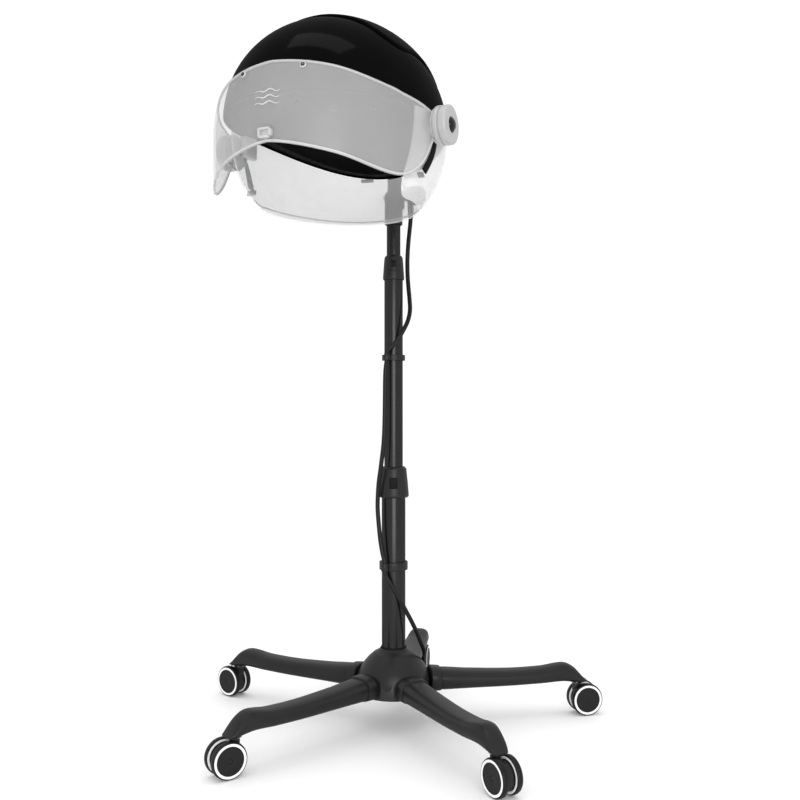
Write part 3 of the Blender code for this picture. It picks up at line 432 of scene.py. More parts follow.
def rod_bmesh(radius, start, end, segments=40, chamfer=0.0006):
    start, end = Vector(start), Vector(end)
    length = (end - start).length
    return turned_bmesh([(0, length), (radius, length), (radius, 0), (0, 0)], chamfer, start,
                        end - start, segments)


def joined(*parts):
    """One bmesh holding several."""
    whole = bmesh.new()
    for bm in parts:
        mesh = bpy.data.meshes.new("joining")
        bm.to_mesh(mesh)
        bm.free()
        whole.from_mesh(mesh)
        bpy.data.meshes.remove(mesh)
    return whole


def cut(obj, *cutters, operation="DIFFERENCE"):
    """Boolean with throw-away meshes, applied."""
    for bm in cutters:
        bmesh.ops.recalc_face_normals(bm, faces=bm.faces)
        mesh = bpy.data.meshes.new("cutter")
        bm.to_mesh(mesh)
        bm.free()
        tool = bpy.data.objects.new("cutter", mesh)
        scene.collection.objects.link(tool)
        modifier = obj.modifiers.new("Cut", "BOOLEAN")
        modifier.operation = operation
        modifier.object = tool
        modifier.solver = "EXACT"
        apply_modifiers(obj)
        bpy.data.objects.remove(tool)
    return obj


def apply_modifiers(obj):
    bpy.context.view_layer.update()
    baked = bpy.data.meshes.new_from_object(obj.evaluated_get(bpy.context.evaluated_depsgraph_get()))
    obj.modifiers.clear()
    obj.data = baked
    obj.data.shade_smooth()
    obj.data.set_sharp_from_angle(angle=math.radians(32))
    return obj


def soft_edges(obj, width, segments=2, angle=40):
    modifier = obj.modifiers.new("Edges", "BEVEL")
    modifier.width = width
    modifier.segments = segments
    modifier.limit_method = "ANGLE"
    modifier.angle_limit = math.radians(angle)
    return obj


def sweep_bmesh(points, radii, sides=18):
    """Round tube along points, its frame carried without twist."""
    bm = bmesh.new()
    if not isinstance(radii, (list, tuple)):
        radii = [radii] * len(points)
    heading = (points[1] - points[0]).normalized()
    normal = heading.orthogonal().normalized()
    rows = []
    for i, point in enumerate(points):
        ahead = points[min(i + 1, len(points) - 1)] - points[max(i - 1, 0)]
        ahead.normalize()
        normal = (normal - ahead * normal.dot(ahead)).normalized()
        other = ahead.cross(normal)
        rows.append([bm.verts.new(point + (normal * math.cos(math.tau * k / sides)
                                           + other * math.sin(math.tau * k / sides)) * radii[i])
                     for k in range(sides)])
    skin(bm, rows)
    bm.faces.new(list(reversed(rows[0])))
    bm.faces.new(rows[-1])
    return bm


def shell_bmesh(surface, columns, rows, wall, outward_from):
    """Closed thin wall from surface(u, v), thickened towards outward_from."""
    bm = bmesh.new()
    outer = [[bm.verts.new(surface(u / columns, v / rows)) for v in range(rows + 1)]
             for u in range(columns + 1)]
    for u in range(columns):
        for v in range(rows):
            bm.faces.new((outer[u][v], outer[u + 1][v], outer[u + 1][v + 1], outer[u][v + 1]))
    bm.normal_update()
    some = bm.faces[:][len(bm.faces) // 2]
    if some.normal.dot(some.calc_center_median() - outward_from) < 0:
        bmesh.ops.reverse_faces(bm, faces=bm.faces)
        bm.normal_update()
    inner = {vert: bm.verts.new(vert.co - vert.normal * wall) for row in outer for vert in row}
    for face in list(bm.faces):
        bm.faces.new([inner[v] for v in reversed(face.verts)])
    for edge in [e for e in bm.edges if len(e.link_faces) == 1]:
        a, b = edge.verts
        if a in inner and b in inner:
            bm.faces.new((a, b, inner[b], inner[a]))
    return bm


# ---- camera, floor and light
def build_camera():
    data = bpy.data.cameras.new("camera")
    data.lens = LENS
    data.sensor_width = 36.0
    data.clip_end = 60
    camera = bpy.data.objects.new("camera", data)
    scene.collection.objects.link(camera)
    camera.location = seen(*CAMERA_SPOT)
    camera.rotation_euler = (math.pi / 2, 0, FACING)
    scene.camera = camera


def area_light(name, location, target, size, power):
    data = bpy.data.lights.new(name, "AREA")
    data.shape = "RECTANGLE"
    data.size, data.size_y = size
    data.energy = power
    lamp = bpy.data.objects.new(name, data)
    scene.collection.objects.link(lamp)
    lamp.location = location
    lamp.rotation_euler = (Vector(target) - Vector(location)).to_track_quat("-Z", "Y").to_euler()


def build_studio():
    world = bpy.data.worlds.new("studio")
    world.use_nodes = True
    world.node_tree.nodes["Background"].inputs["Color"].default_value = (1, 1, 1, 1)
    world.node_tree.nodes["Background"].inputs["Strength"].default_value = 1.06
    scene.world = world
    bm = bmesh.new()
    bmesh.ops.create_grid(bm, x_segments=8, y_segments=8, size=30.0)
    floor = piece("studio_floor", bm, FLOOR, None)
    area_light("soft_top", seen(-0.2, -0.4, 3.2), seen(0, 0, 0.5), (1.8, 0.8), 14)
    area_light("soft_front", seen(0.25, -3.0, 0.65), seen(0, 0, 0.50), (1.5, 1.9), 46)
    scene.view_settings.view_transform = "Standard"
    scene.view_settings.look = "None"


# ---- cords
def coil_points():
    """Spare cord wound in two layers of two turns, ending towards the plug."""
    start, sweep = -8.0, 360.0 * 4 + 98.0
    steps = 4 * 26
    points = []
    for k in range(steps + 1):
        turned = sweep * k / steps
        position = turned / 360.0
        lap = min(int(position), 4)
        radius, height = COIL_TURNS[min(lap, 3)]
        if lap < 3:
            share = min(max((position - lap - 0.82) / 0.18, 0.0), 1.0)
            ease = share * share * (3 - 2 * share)
            after = COIL_TURNS[lap + 1]
            radius += (after[0] - radius) * ease
            height += (after[1] - height) * ease
        arriving = min(position / 0.12, 1.0)
        radius += 0.0074 * (1 - arriving) ** 2
        angle = math.radians(start + turned)
        points.append((COIL_CENTRE[0] + radius * math.cos(angle),
                       COIL_CENTRE[1] + radius * math.sin(angle), height))
    return points


def build_strain_relief():
    """Sleeve with four ribs where the cord leaves the bracket."""
    side, depth = UPPER_ROUTE[0][:2]
    heights = [0.8376, 0.8330, 0.8325, 0.8322] + [0.8322 - 0.0040 * k for k in range(1, 6)]
    sleeve = sweep_bmesh([seen(side, depth, z) for z in heights],
                         [0.0052, 0.0052, 0.0050, 0.0047, 0.0046, 0.0045, 0.0044, 0.0042, 0.0041], 24)
    ribs = [lathe_bmesh([(0.0030, h + 0.0012), (r, h + 0.0009), (r, h - 0.0009), (0.0030, h - 0.0012)],
                        seen(side, depth, 0), UP, 24)
            for h, r in ((0.8290, 0.0052), (0.8245, 0.0050), (0.8200, 0.0048), (0.8155, 0.0046))]
    piece("cord_strain_relief", joined(sleeve, *ribs), RUBBER, "upper_section", ["cord_gland"])


def hanging_cord(name, node, route):
    """Cord that runs down from the higher body to the lower one, swept once in place and riding on no
    body.
    """
    line = spline([seen(*p) for p in route], 6)
    cord = piece(name, sweep_bmesh(line, CORD_DIAMETER / 2), RUBBER, None, [node],
                 sharp=60)
    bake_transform(cord)


def build_cords():
    hanging_cord("mains_cord_upper", "cord_upper", UPPER_ROUTE)
    hanging_cord("mains_cord_middle", "cord_middle", MIDDLE_ROUTE)
    plug_face = seen(*PLUG_START)
    into_plug = plug_face + (plug_face - seen(-0.05, 0.2385, 0.0105)) * 0.3
    on_floor = [LOWER_ROUTE[-1], (0.0198, 0.1830, 0.0038), *coil_points(), (-0.0470, 0.2400, 0.0107)]
    route = (spline([seen(*p) for p in LOWER_ROUTE], 6)[:-1]
             + spline([seen(*p) for p in on_floor] + [into_plug], 2))
    lower = piece("mains_cord_lower", sweep_bmesh(route, CORD_DIAMETER / 2), RUBBER, "base",
                  ["cord_lower", "cord_coil"], sharp=60)
    build_plug()


def build_plug():
    """Two-pin plug with a ribbed, tapering strain relief."""
    start = seen(*PLUG_START)
    towards = (seen(-1, 0, 0) - seen(0, 0, 0)).normalized()
    sleeve = [(0.0036, 0.0), (0.0046, 0.0), (0.0050, 0.0020), (0.0043, 0.0026), (0.0043, 0.0036),
              (0.0052, 0.0042), (0.0055, 0.0060), (0.0048, 0.0066), (0.0048, 0.0076),
              (0.0062, 0.0086), (0.0075, 0.0130), (0.0098, 0.0200), (0.0098, 0.0350),
              (0.0085, 0.0398), (0.0, 0.0398), (0.0, 0.0)]
    obj = piece("mains_plug", turned_bmesh(sleeve, 0.0006, start, towards, 40), [RUBBER, BRASS],
                "base", ["plug"])
    across = (seen(0, 1, 0) - seen(0, 0, 0)).normalized()
    for side, word in ((-0.0045, "a"), (0.0045, "b")):
        pin = rod_bmesh(0.0020, start + towards * 0.0390 + across * side,
                        start + towards * 0.0545 + across * side, 20)
        piece(f"mains_plug_pin_{word}", pin, BRASS, None).parent = obj
    return obj


# ---- base
def leg_ring(bm, direction, across, station, scale, corners=36, power=2.6):
    """Rounded-square ring of vertices across a leg."""
    out, under, top, half_width = station
    ring = []
    for k in range(corners):
        angle = math.tau * (k + 0.5) / corners
        x = math.copysign(abs(math.cos(angle)) ** (2 / power), math.cos(angle)) * half_width * scale
        z = math.copysign(abs(math.sin(angle)) ** (2 / power), math.sin(angle))
        z = (under + top) / 2 + z * (top - under) / 2 * scale
        ring.append(bm.verts.new(COLUMN + direction * out + across * x + UP * z))
    return ring


def build_legs():
    """Each leg is one smooth loft with a collar that plugs into the hub."""
    outs = [s[0] for s in LEG_STATIONS]
    fine = []
    for k in range(41):
        out = outs[0] + (outs[-1] - outs[0]) * k / 40
        fine.append((out, *[through(outs, [s[c] for s in LEG_STATIONS], out) for c in (1, 2, 3)]))
    root, end = LEG_COLLAR
    start, tip = fine[0][1:], fine[-1]
    sections = [((out, *size), scale) for out, size, scale in (
        (0.0578, root, 0.90), (0.0588, root, 0.98), (0.0602, root, 1.0), (0.0738, end, 1.0),
        (0.0748, end, 0.985), (0.0754, start, 0.985), (0.0756, start, 0.965), (0.0764, start, 0.965),
        (0.0766, start, 0.99))]
    sections += [(station, 1.0) for station in fine[1:]]
    sections.append(((tip[0] + 0.0008, *tip[1:]), 0.85))
    for n in range(LEG_COUNT):
        angle = FIRST_LEG + math.tau * n / LEG_COUNT
        direction = Vector((math.cos(angle), math.sin(angle), 0))
        across = Vector((-direction.y, direction.x, 0))
        bm = bmesh.new()
        rings = [leg_ring(bm, direction, across, station, scale) for station, scale in sections]
        skin(bm, rings)
        bm.faces.new(rings[0])
        bm.faces.new(rings[-1])
        piece(f"star_leg_{n + 1}", bm, BLACK, "base", [f"leg_{n + 1}"], sharp=50)


def build_hub():
    profile = [(0.0195, 0.0600), (0.0195, 0.1207), (0.0206, 0.1211), (0.0222, 0.1200),
               (0.0235, 0.1180), (0.0320, 0.1135), (0.0400, 0.1065), (0.0470, 0.0985),
               (0.0520, 0.0905), (0.0556, 0.0830), (0.0574, 0.0760), (0.0577, 0.0700),
               (0.0577, 0.0535), (0.0560, 0.0505), (0.0, 0.0502), (0.0, 0.0600)]
    lathe("base_hub", profile, COLUMN, UP, BLACK, "base", ["hub"], "black_plastic", 96,
          closed=False, radius=0.0012)
    for n in range(LEG_COUNT):
        between = FIRST_LEG + math.tau * (n + 0.5) / LEG_COUNT
        panel = slab((0.0560, -0.0122, 0.0516), (0.0588, 0.0122, 0.0785), 0.0012, 3)
        for vert in panel.verts:
            raised = max(vert.co.z - 0.0640, 0.0)
            vert.co.x -= 12.0 * raised ** 2
            vert.co.y *= 1.0 - 14.0 * raised
        moved(panel, ON_COLUMN @ Matrix.Rotation(between, 4, "Z"))
        # The panels' lighter colour is painted light, standing for the front lamp falling on them.
        piece(f"hub_panel_{n + 1}", panel, PANEL_PAINTED_LIGHT, "base")
    seal = [(0.0191, 0.1235), (0.0206, 0.1228), (0.0208, 0.1205), (0.0191, 0.1205)]
    lathe("hub_seal", seal, COLUMN, UP, MATT, "base", slot="black_plastic", segments=72,
          radius=0.0004)


def build_casters():
    for n in range(LEG_COUNT):
        leg = FIRST_LEG + math.tau * n / LEG_COUNT
        stem = COLUMN + Vector((math.cos(leg), math.sin(leg), 0)) * STEM_REACH
        heading = CASTER_HEADINGS[n]
        trail = Vector((math.cos(heading), math.sin(heading), 0))
        axle = Vector((-trail.y, trail.x, 0))
        centre = stem + trail * CASTER_TRAIL + UP * WHEEL_RADIUS
        name = f"caster_{n + 1}"
        inner = CASTER_HALF_WIDTH - WHEEL_WIDTH
        drum = turned_bmesh([(0.0, inner - 0.0004), (0.0196, inner - 0.0004), (0.0204, 0.003),
                             (0.0204, -0.003), (0.0196, 0.0004 - inner), (0.0, 0.0004 - inner)],
                            0.0008, centre, axle, 48)
        turn = Matrix.Translation(stem) @ Matrix.Rotation(heading, 4, "Z")
        neck = slab((-0.0058, -0.0058, 0.030), (0.0058, 0.0058, 0.0520), 0.0018, 2, turn)
        rib = slab((-0.002, -0.0018, 0.034), (0.0160, 0.0018, 0.0478), 0.0008, 2, turn)
        bar = rod_bmesh(0.0030, centre - axle * 0.0155, centre + axle * 0.0155, 20)
        piece(f"{name}_body", joined(drum, neck, rib, bar), BLACK, name, [f"{name}_swivel"])
        washer = [(0.0, 0.0531), (0.0092, 0.0531), (0.0095, 0.0527), (0.0092, 0.0522), (0.0, 0.0522)]
        stud = [(0.0, 0.0620), (0.0042, 0.0618), (0.0045, 0.0610), (0.0045, 0.0527), (0.0, 0.0527)]
        hardware = joined(lathe_bmesh(washer, stem, UP, 36, closed=False),
                          lathe_bmesh(stud, stem, UP, 28, closed=False))
        piece(f"{name}_washer_and_stud", hardware, STEEL, name)
        wide = CASTER_HALF_WIDTH
        profile = [(0.0033, wide - 0.0012, 1), (0.0110, wide - 0.0012, 1), (0.0196, wide - 0.0014, 1),
                   (0.0203, wide - 0.0004, 2), (0.0229, wide - 0.0001, 2), (0.0236, wide - 0.0006, 0),
                   (0.0252, wide - 0.0014, 0), (0.0259, wide - 0.0034, 0), (0.0260, wide - 0.0055, 0),
                   (0.0259, inner + 0.0022, 0), (0.0252, inner + 0.0008, 0), (0.0236, inner + 0.0003, 2),
                   (0.0210, inner + 0.0001, 2), (0.0204, inner + 0.0006, 1), (0.0033, inner + 0.0006, 1)]
        for side, letter in ((1, "a"), (-1, "b")):
            lathe(f"{name}_tyre_{letter}", profile, centre, axle * side, [TREAD, DISC, RING],
                  f"{name}_wheel_{letter}", [f"{name}_wheel_{letter}"], "caster_tread", 64,
                  radius=0.0003)


# ---- column
def tube(name, node, outer, inner, body):
    low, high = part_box(node)
    profile = [(outer, high[2]), (outer, low[2]), (inner, low[2]), (inner, high[2])]
    lathe(name, profile, COLUMN, UP, COLUMN_BLACK, body, [node], "black_metal", 72, radius=0.0005)


def pocket(half_width, near, far, low, high):
    return moved(block_bmesh((-half_width, -far, low), (half_width, -near, high)), FACED)


def build_column():
    tube("column_lower", "lower_tube", 0.0190, 0.0176, "base")
    tube("column_middle", "middle_tube", 0.0148, 0.0134, "middle_section")
    tube("column_upper", "upper_tube", 0.0110, 0.0096, "upper_section")

    top, low = 0.4108, 0.3616
    profile = [(0.0151, top), (0.0174, top - 0.0002), (0.0184, top - 0.0009), (0.0206, top - 0.0036),
               (0.0222, top - 0.0200), (0.0225, top - 0.0210), (0.0222, top - 0.0216),
               (0.0226, top - 0.0222), (0.0244, low + 0.0062), (0.0245, low + 0.0030),
               (0.0240, low + 0.0012), (0.0228, low), (0.0193, low), (0.0193, 0.3738), (0.0151, 0.3738)]
    collar = lathe("column_collar_lower", profile, COLUMN, UP, BLACK, "base", ["lower_collar"],
                   "black_plastic", 80, radius=0.0005)
    cut(collar, pocket(0.0066, 0.0178, 0.030, 0.3765, 0.3942))
    top, low = 0.7480, 0.7090
    profile = [(0.0113, top), (0.0120, top - 0.0001), (0.0129, top - 0.0008), (0.0147, top - 0.0038),
               (0.0155, top - 0.0120), (0.0162, top - 0.0240), (0.0166, top - 0.0246),
               (0.0162, top - 0.0252), (0.0164, top - 0.0258), (0.0170, low + 0.0050),
               (0.0170, low + 0.0015), (0.0163, low), (0.0151, low), (0.0151, 0.7218), (0.0113, 0.7218)]
    collar = lathe("column_collar_upper", profile, COLUMN, UP, BLACK, "middle_section",
                   ["upper_collar"], "black_plastic", 72, radius=0.0004)
    cut(collar, pocket(0.0046, 0.01295, 0.020, 0.7282, 0.7393))
    for name, node, half, near, far, low, high in (
            ("lock_button_lower", "lower_button", 0.0061, 0.0199, 0.0235, 0.3770, 0.3937),
            ("lock_button_upper", "upper_button", 0.0041, 0.0147, 0.0166, 0.7287, 0.7388)):
        cap = slab((-half, -far, low), (half, -near, high), 0.0005, 3)
        ribs = [slab((-half * 0.6, -far - 0.00015, z - 0.0003), (half * 0.6, -far + 0.0006, z + 0.0003),
                     0.0001, 1) for z in [low + (high - low) * s for s in (0.35, 0.5, 0.65)]]
        piece(name, moved(joined(cap, *ribs), FACED), MATT, node, [node])


def build_clips():
    """Band round the tube and an eye round the cord."""
    for name, node, body, inner, outer, hook, eye in (
            ("cord_clip_lower", "lower_clip", "base", 0.0193, 0.0228, (-0.0137, -0.0225), 0.0057),
            ("cord_clip_upper", "upper_clip", "middle_section", 0.0151, 0.0185, (-0.0110, -0.0213),
             0.0060)):
        low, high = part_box(node)[0][2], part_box(node)[1][2]
        band = lathe_bmesh(fillet([(outer, high), (outer, low), (inner, low), (inner, high)], 0.0008),
                           COLUMN, UP, 64)
        loop = lathe_bmesh(fillet([(eye, high - 0.0004), (eye, low + 0.0004), (0.0036, low + 0.0004),
                                   (0.0036, high - 0.0004)], 0.0006), seen(*hook, 0), UP, 40)
        ends = [seen(0.0, outer + step, (low + high) / 2) for step in (-0.0010, 0.0004)]
        screw = rod_bmesh(0.0022, *ends, 20, 0.0003)
        piece(name, joined(band, loop, screw), BLACK, body, [node])


# ---- bracket
def build_bracket():
    y, z = PIVOT.yz
    sleeve = turned_bmesh([(0.0113, 0.7972), (0.0113, 0.8262), (0.0, 0.8262), (0.0, 0.8310),
                           (0.0130, 0.8310), (0.0143, 0.8290), (0.0143, 0.8040), (0.0139, 0.8032),
                           (0.0143, 0.8024), (0.0143, 0.7984), (0.0133, 0.7972)],
                          0.0006, COLUMN, UP, 64)
    lugs = []
    for side in (-1, 1):
        near, far = sorted((0.0100 * side, 0.0134 * side))
        lugs.append(slab((near, -0.0052, 0.824), (far, 0.0132, z), 0.0008, 2, ON_COLUMN))
        lugs.append(rod_bmesh(0.0094, at(near, y, z), at(far, y, z), 48, 0.0007))
    entry = slab((0.0107, 0.0124, 0.8387), (0.0223, 0.0363, 0.8548), 0.0016, 3, ON_COLUMN)
    piece("pole_bracket", joined(sleeve, *lugs, entry), BLACK, "upper_section", ["pole_head"])
    bolt = joined(rod_bmesh(0.0030, at(-0.0158, y, z), at(0.0294, y, z), 24),
                  turned_bmesh([(0, 0.0042), (0.0056, 0.0040), (0.0058, 0.0004), (0, 0)], 0.0003,
                               at(-0.0140, y, z), -SIDE, 6),
                  lathe_bmesh([(0.0031, 0.0008), (0.0075, 0.0008), (0.0075, 0.0001), (0.0031, 0.0001)],
                              at(-0.0135, y, z), -SIDE, 32))
    piece("tilt_pivot_bolt", bolt, STEEL, "upper_section", ["tilt_bolt"])
    knob = [(0.0, 0.0490, 1), (0.0085, 0.0488, 1), (0.0092, 0.0498), (0.0120, 0.0499),
            (0.0148, 0.0478), (0.0150, 0.0440), (0.0150, 0.0300), (0.0132, 0.0263),
            (0.0062, 0.0262), (0.0060, 0.0142), (0.0033, 0.0142), (0.0033, 0.0298), (0.0, 0.0298)]
    lathe("tilt_lock_knob", knob, at(0, y, z), SIDE, [BLACK, DISC], "tilt_knob", ["tilt_knob"],
          "black_plastic", 96, closed=False, radius=0.0006, lobes=8, lobe_depth=0.0014,
          lobe_from=0.0110)


def ellipsoid_bmesh(semi, grow, segments=96, rings=64):
    bm = bmesh.new()
    bmesh.ops.create_uvsphere(bm, u_segments=segments, v_segments=rings, radius=1.0)
    bmesh.ops.scale(bm, vec=semi + Vector((grow, grow, grow)), verts=bm.verts)
    bmesh.ops.translate(bm, vec=COLUMN + HOOD, verts=bm.verts)
    return bm


def build_tilt_arm():
    y, z = PIVOT.yz
    stalk = slab((-0.0094, -0.0038, z), (0.0094, 0.0119, 0.892), 0.0016, 3, ON_COLUMN)
    eye = rod_bmesh(0.0079, at(-0.0094, y, z), at(0.0094, y, z), 40, 0.0006)
    pad = slab((-0.0239, -0.026, 0.8802), (0.0239, 0.0061, 0.9338), 0.0042, 4, ON_COLUMN)
    cut(piece("hood_mount_pad", pad, BLACK, "hood"),
        ellipsoid_bmesh(DOME, 0.0005, 64, 40))
    piece("hood_tilt_arm", joined(stalk, eye), BLACK, "hood", ["tilt_arm"])
    for side, word in SIDES:
        head = rod_bmesh(0.0032, at(0.0165 * side, 0.0050, 0.9075), at(0.0165 * side, 0.0068, 0.9075),
                         24, 0.0005)
        piece(f"mount_pad_screw_{word}", head, STEEL, "hood")


# ---- hood
def smooth_rim(azimuth):
    return RIM_EARS - (RIM_EARS - RIM_REAR) * max(math.sin(azimuth), 0.0) ** 2


def cap_point(semi, u, v, lift=0.0):
    """Point on an ellipsoid above the rim; u round from +X, v from rim to crown."""
    azimuth = math.tau * u
    rim = math.asin((smooth_rim(azimuth) + lift - HOOD.z) / semi.z)
    elevation = rim + (math.pi / 2 - rim) * v
    flat = math.cos(elevation)
    return COLUMN + HOOD + Vector((semi.x * flat * math.cos(azimuth), semi.y * flat * math.sin(azimuth),
                                   semi.z * math.sin(elevation)))


def cap_bmesh(semi, wall, lift=0.0, columns=96, rows=26):
    """Closed wall over the rim, following an ellipsoid."""
    bm = bmesh.new()
    layers = []
    for shrink in (0.0, wall):
        size = semi - Vector((shrink, shrink, shrink))
        rings = [[bm.verts.new(cap_point(size, u / columns, v / rows, lift)) for u in range(columns)]
                 for v in range(rows)]
        crown = bm.verts.new(cap_point(size, 0, 1, lift))
        skin(bm, rings)
        for k in range(columns):
            bm.faces.new((rings[-1][k], rings[-1][(k + 1) % columns], crown))
        layers.append(rings[0])
    skin(bm, layers)
    return bm


def build_dome():
    dome = piece("hood_shell", cap_bmesh(DOME, 0.003), SHINY, "hood", ["outer_dome"])
    soft_edges(dome, 0.0008)
    cover = piece("hood_cover", ellipsoid_bmesh(DOME, 0.0031), SHINY, "hood", ["top_cover"])
    outside = block_bmesh((-0.124, -0.250, 0.943), (0.124, 0.05, 1.10))
    bmesh.ops.bevel(outside, geom=list(outside.edges), offset=0.034, segments=8, profile=0.5,
                    affect="EDGES")
    cut(cover, moved(outside, ON_COLUMN), operation="INTERSECT")
    cut(cover, ellipsoid_bmesh(DOME, 0.0007))
    soft_edges(cover, 0.0009, 3)


def build_inner_shell():
    shell = piece("air_shell", cap_bmesh(INNER, 0.002, 0.003, 84, 22), MATT, "hood", ["inner_shell"])
    holes = []
    for k in range(10):
        angle = math.tau * (k + 0.5) / 10
        outward = Vector((math.cos(angle), math.sin(angle), 0.9)).normalized()
        centre = COLUMN + HOOD + Vector((INNER.x * outward.x, INNER.y * outward.y, INNER.z * outward.z))
        holes.append(rod_bmesh(0.006, centre - outward * 0.012, centre + outward * 0.012, 24, 0))
    cut(shell, joined(*holes))
    flange = bmesh.new()
    rings = []
    inside_dome = DOME - Vector((0.0042,) * 3)
    for size, drop in ((INNER, 0.0), (INNER, 0.002), (inside_dome, 0.002), (inside_dome, 0.0)):
        ring = []
        for k in range(96):
            azimuth = math.tau * k / 96
            height = smooth_rim(azimuth) + 0.003 - drop + 0.002
            reach = math.sqrt(max(1 - ((height - HOOD.z) / size.z) ** 2, 0))
            ring.append(flange.verts.new(at(size.x * reach * math.cos(azimuth),
                                            HOOD.y + size.y * reach * math.sin(azimuth), height)))
        rings.append(ring)
    skin(flange, rings + rings[:1])
    piece("air_shell_flange", flange, MATT, "hood")


def build_blower():
    """Carried-over solids behind the air shell, given their own finishes."""
    for node, finish in (("motor", STEEL), ("fan", MATT), ("heater_ring", COPPER)):
        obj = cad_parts[node]
        obj.data.materials.clear()
        obj.data.materials.append(finish)
        soft_edges(obj, 0.0004, 2, 30)


def on_console(side, up, out):
    return CONSOLE_BASE + SIDE * side + CONSOLE_UP * up + CONSOLE_OUT * out


def build_console():
    box = slab((-0.0519, -0.010, -0.0209), (0.0519, 0.0119, 0.0209), 0.0048, 4, ON_CONSOLE)
    cut(piece("control_box", box, MATT, "hood", ["control_console"]),
        ellipsoid_bmesh(DOME, 0.0035, 64, 40),
        rod_bmesh(0.0088, on_console(0, 0, 0.0049), on_console(0, 0, 0.020), 36, 0))
    marks = []
    for centre, count, sweep in ((-0.032, 11, 300), (0.032, 7, 270)):
        for k in range(count):
            angle = math.radians(90 + sweep / 2 - sweep * k / (count - 1))
            spot = Vector((centre + 0.0152 * math.cos(angle), 0.0119, 0.0152 * math.sin(angle)))
            tick = block_bmesh((-0.0013, -0.0003, -0.00035), (0.0013, 0.0003, 0.00035))
            moved(tick, Matrix.Translation(spot) @ Matrix.Rotation(-angle, 4, "Y"))
            marks.append(moved(tick, ON_CONSOLE))
    piece("dial_marks", joined(*marks), PRINT, "hood")
    for node, side, name in (("timer_knob", -0.032, "timer_dial"),
                             ("temperature_knob", 0.032, "heat_dial")):
        knob = [(0.0, 0.0136), (0.0072, 0.0136), (0.0080, 0.0139), (0.0093, 0.0130), (0.0104, 0.0040),
                (0.0110, 0.0028), (0.0110, 0.0002), (0.0, 0.0002)]
        lathe(name, knob, on_console(side, 0, 0.0124), CONSOLE_OUT, PALE, node, [node],
              "light_grey", 96, closed=False, radius=0.0005, lobes=24, lobe_depth=0.0004,
              lobe_from=0.0088)
        line = block_bmesh((-0.0006, -0.0004, 0.0010), (0.0006, 0.0004, 0.0084))
        moved(line, Matrix.Translation((side, 0.0262, 0)))
        piece(f"{name}_pointer", moved(line, ON_CONSOLE), BLACK, node)
    barrel = rod_bmesh(0.0057, on_console(-0.0042, 0, 0.0110), on_console(0.0042, 0, 0.0110), 36, 0.0006)
    lever = turned_bmesh([(0.0, 0.0195), (0.0017, 0.0190), (0.0016, 0.0160), (0.0012, 0.0130),
                          (0.0, 0.0130)], 0.0005, CONSOLE_BASE, CONSOLE_OUT, 24)
    piece("toggle_switch", joined(barrel, lever), SHINY, "power_switch", ["power_switch"])


# ---- guard
def guard_narrowing(top, height):
    return 1 - GUARD_TAPER * (max(top - height, 0.0) / (top - GUARD_FLOOR_REAR)) ** GUARD_TAPER_POWER


def guard_point(azimuth, share):
    x, y = math.sin(azimuth), -math.cos(azimuth)
    top = smooth_rim(math.atan2(y, x)) - 0.0010
    rearward = max(-math.cos(azimuth), 0.0)
    low = GUARD_FLOOR_EARS + (GUARD_FLOOR_REAR - GUARD_FLOOR_EARS) * rearward
    from_edge = GUARD_SEMI[0] * (math.pi - GUARD_START - abs(math.pi - azimuth))
    inside = min(max(GUARD_CORNER - from_edge, 0.0), GUARD_CORNER)
    low += GUARD_CORNER - math.sqrt(GUARD_CORNER ** 2 - inside ** 2)
    height = top + (low - top) * share
    narrow = guard_narrowing(top, height)
    return at(GUARD_SEMI[0] * narrow * x, HOOD.y + GUARD_SEMI[1] * narrow * y, height)


def guard_surface(u, v):
    return guard_point(GUARD_START + 2 * (math.pi - GUARD_START) * u, v)


def build_guard():
    guard = piece("neck_apron", shell_bmesh(guard_surface, 96, 20, GUARD_WALL, COLUMN + HOOD), MILKY,
                  "hood", ["neck_guard"], sharp=60)
    cut(guard, rod_bmesh(0.0068, ear_at(-0.2), ear_at(0.2), 36, 0))
    middle_of_hood = COLUMN + HOOD
    line = [guard_surface(0.02 + 0.96 * k / 96, 0.92) for k in range(97)]
    line = [point + level(middle_of_hood - point) * (GUARD_WALL + 0.0002) for point in line]
    piece("neck_apron_bead", sweep_bmesh(line, 0.0011, 10), MILKY_EDGE, "hood")
    for k, azimuth in enumerate((166, 194)):
        point = guard_point(math.radians(azimuth), 0.0)
        out = point - middle_of_hood
        turn = Matrix.Rotation(math.atan2(out.y, out.x) - math.pi / 2, 4, "Z")
        clip = slab((-0.010, -0.0036, -0.0050), (0.010, -0.0012, 0.0006), 0.0007, 2,
                    Matrix.Translation(point) @ turn)
        piece(f"apron_clip_{k + 1}", clip, PALE, "hood")


# ---- visor
def visor_point(angle, share, proud=0.0):
    degrees = abs(math.degrees(angle))
    low = through(VISOR_ANGLES, VISOR_LOWER, degrees)
    high = through(VISOR_ANGLES, VISOR_UPPER, degrees)
    height = low + (high - low) * share
    inset = VISOR_TOP_INSET * (max(height, 0.0) / VISOR_UPPER[0]) ** 1.5 - proud
    return COLUMN + EAR + Vector(((VISOR_HALF_WIDTH - inset) * math.sin(angle),
                                  -(VISOR_REACH - inset) * math.cos(angle), height))


def visor_surface(u, v):
    return visor_point((u * 2 - 1) * math.pi / 2, v)


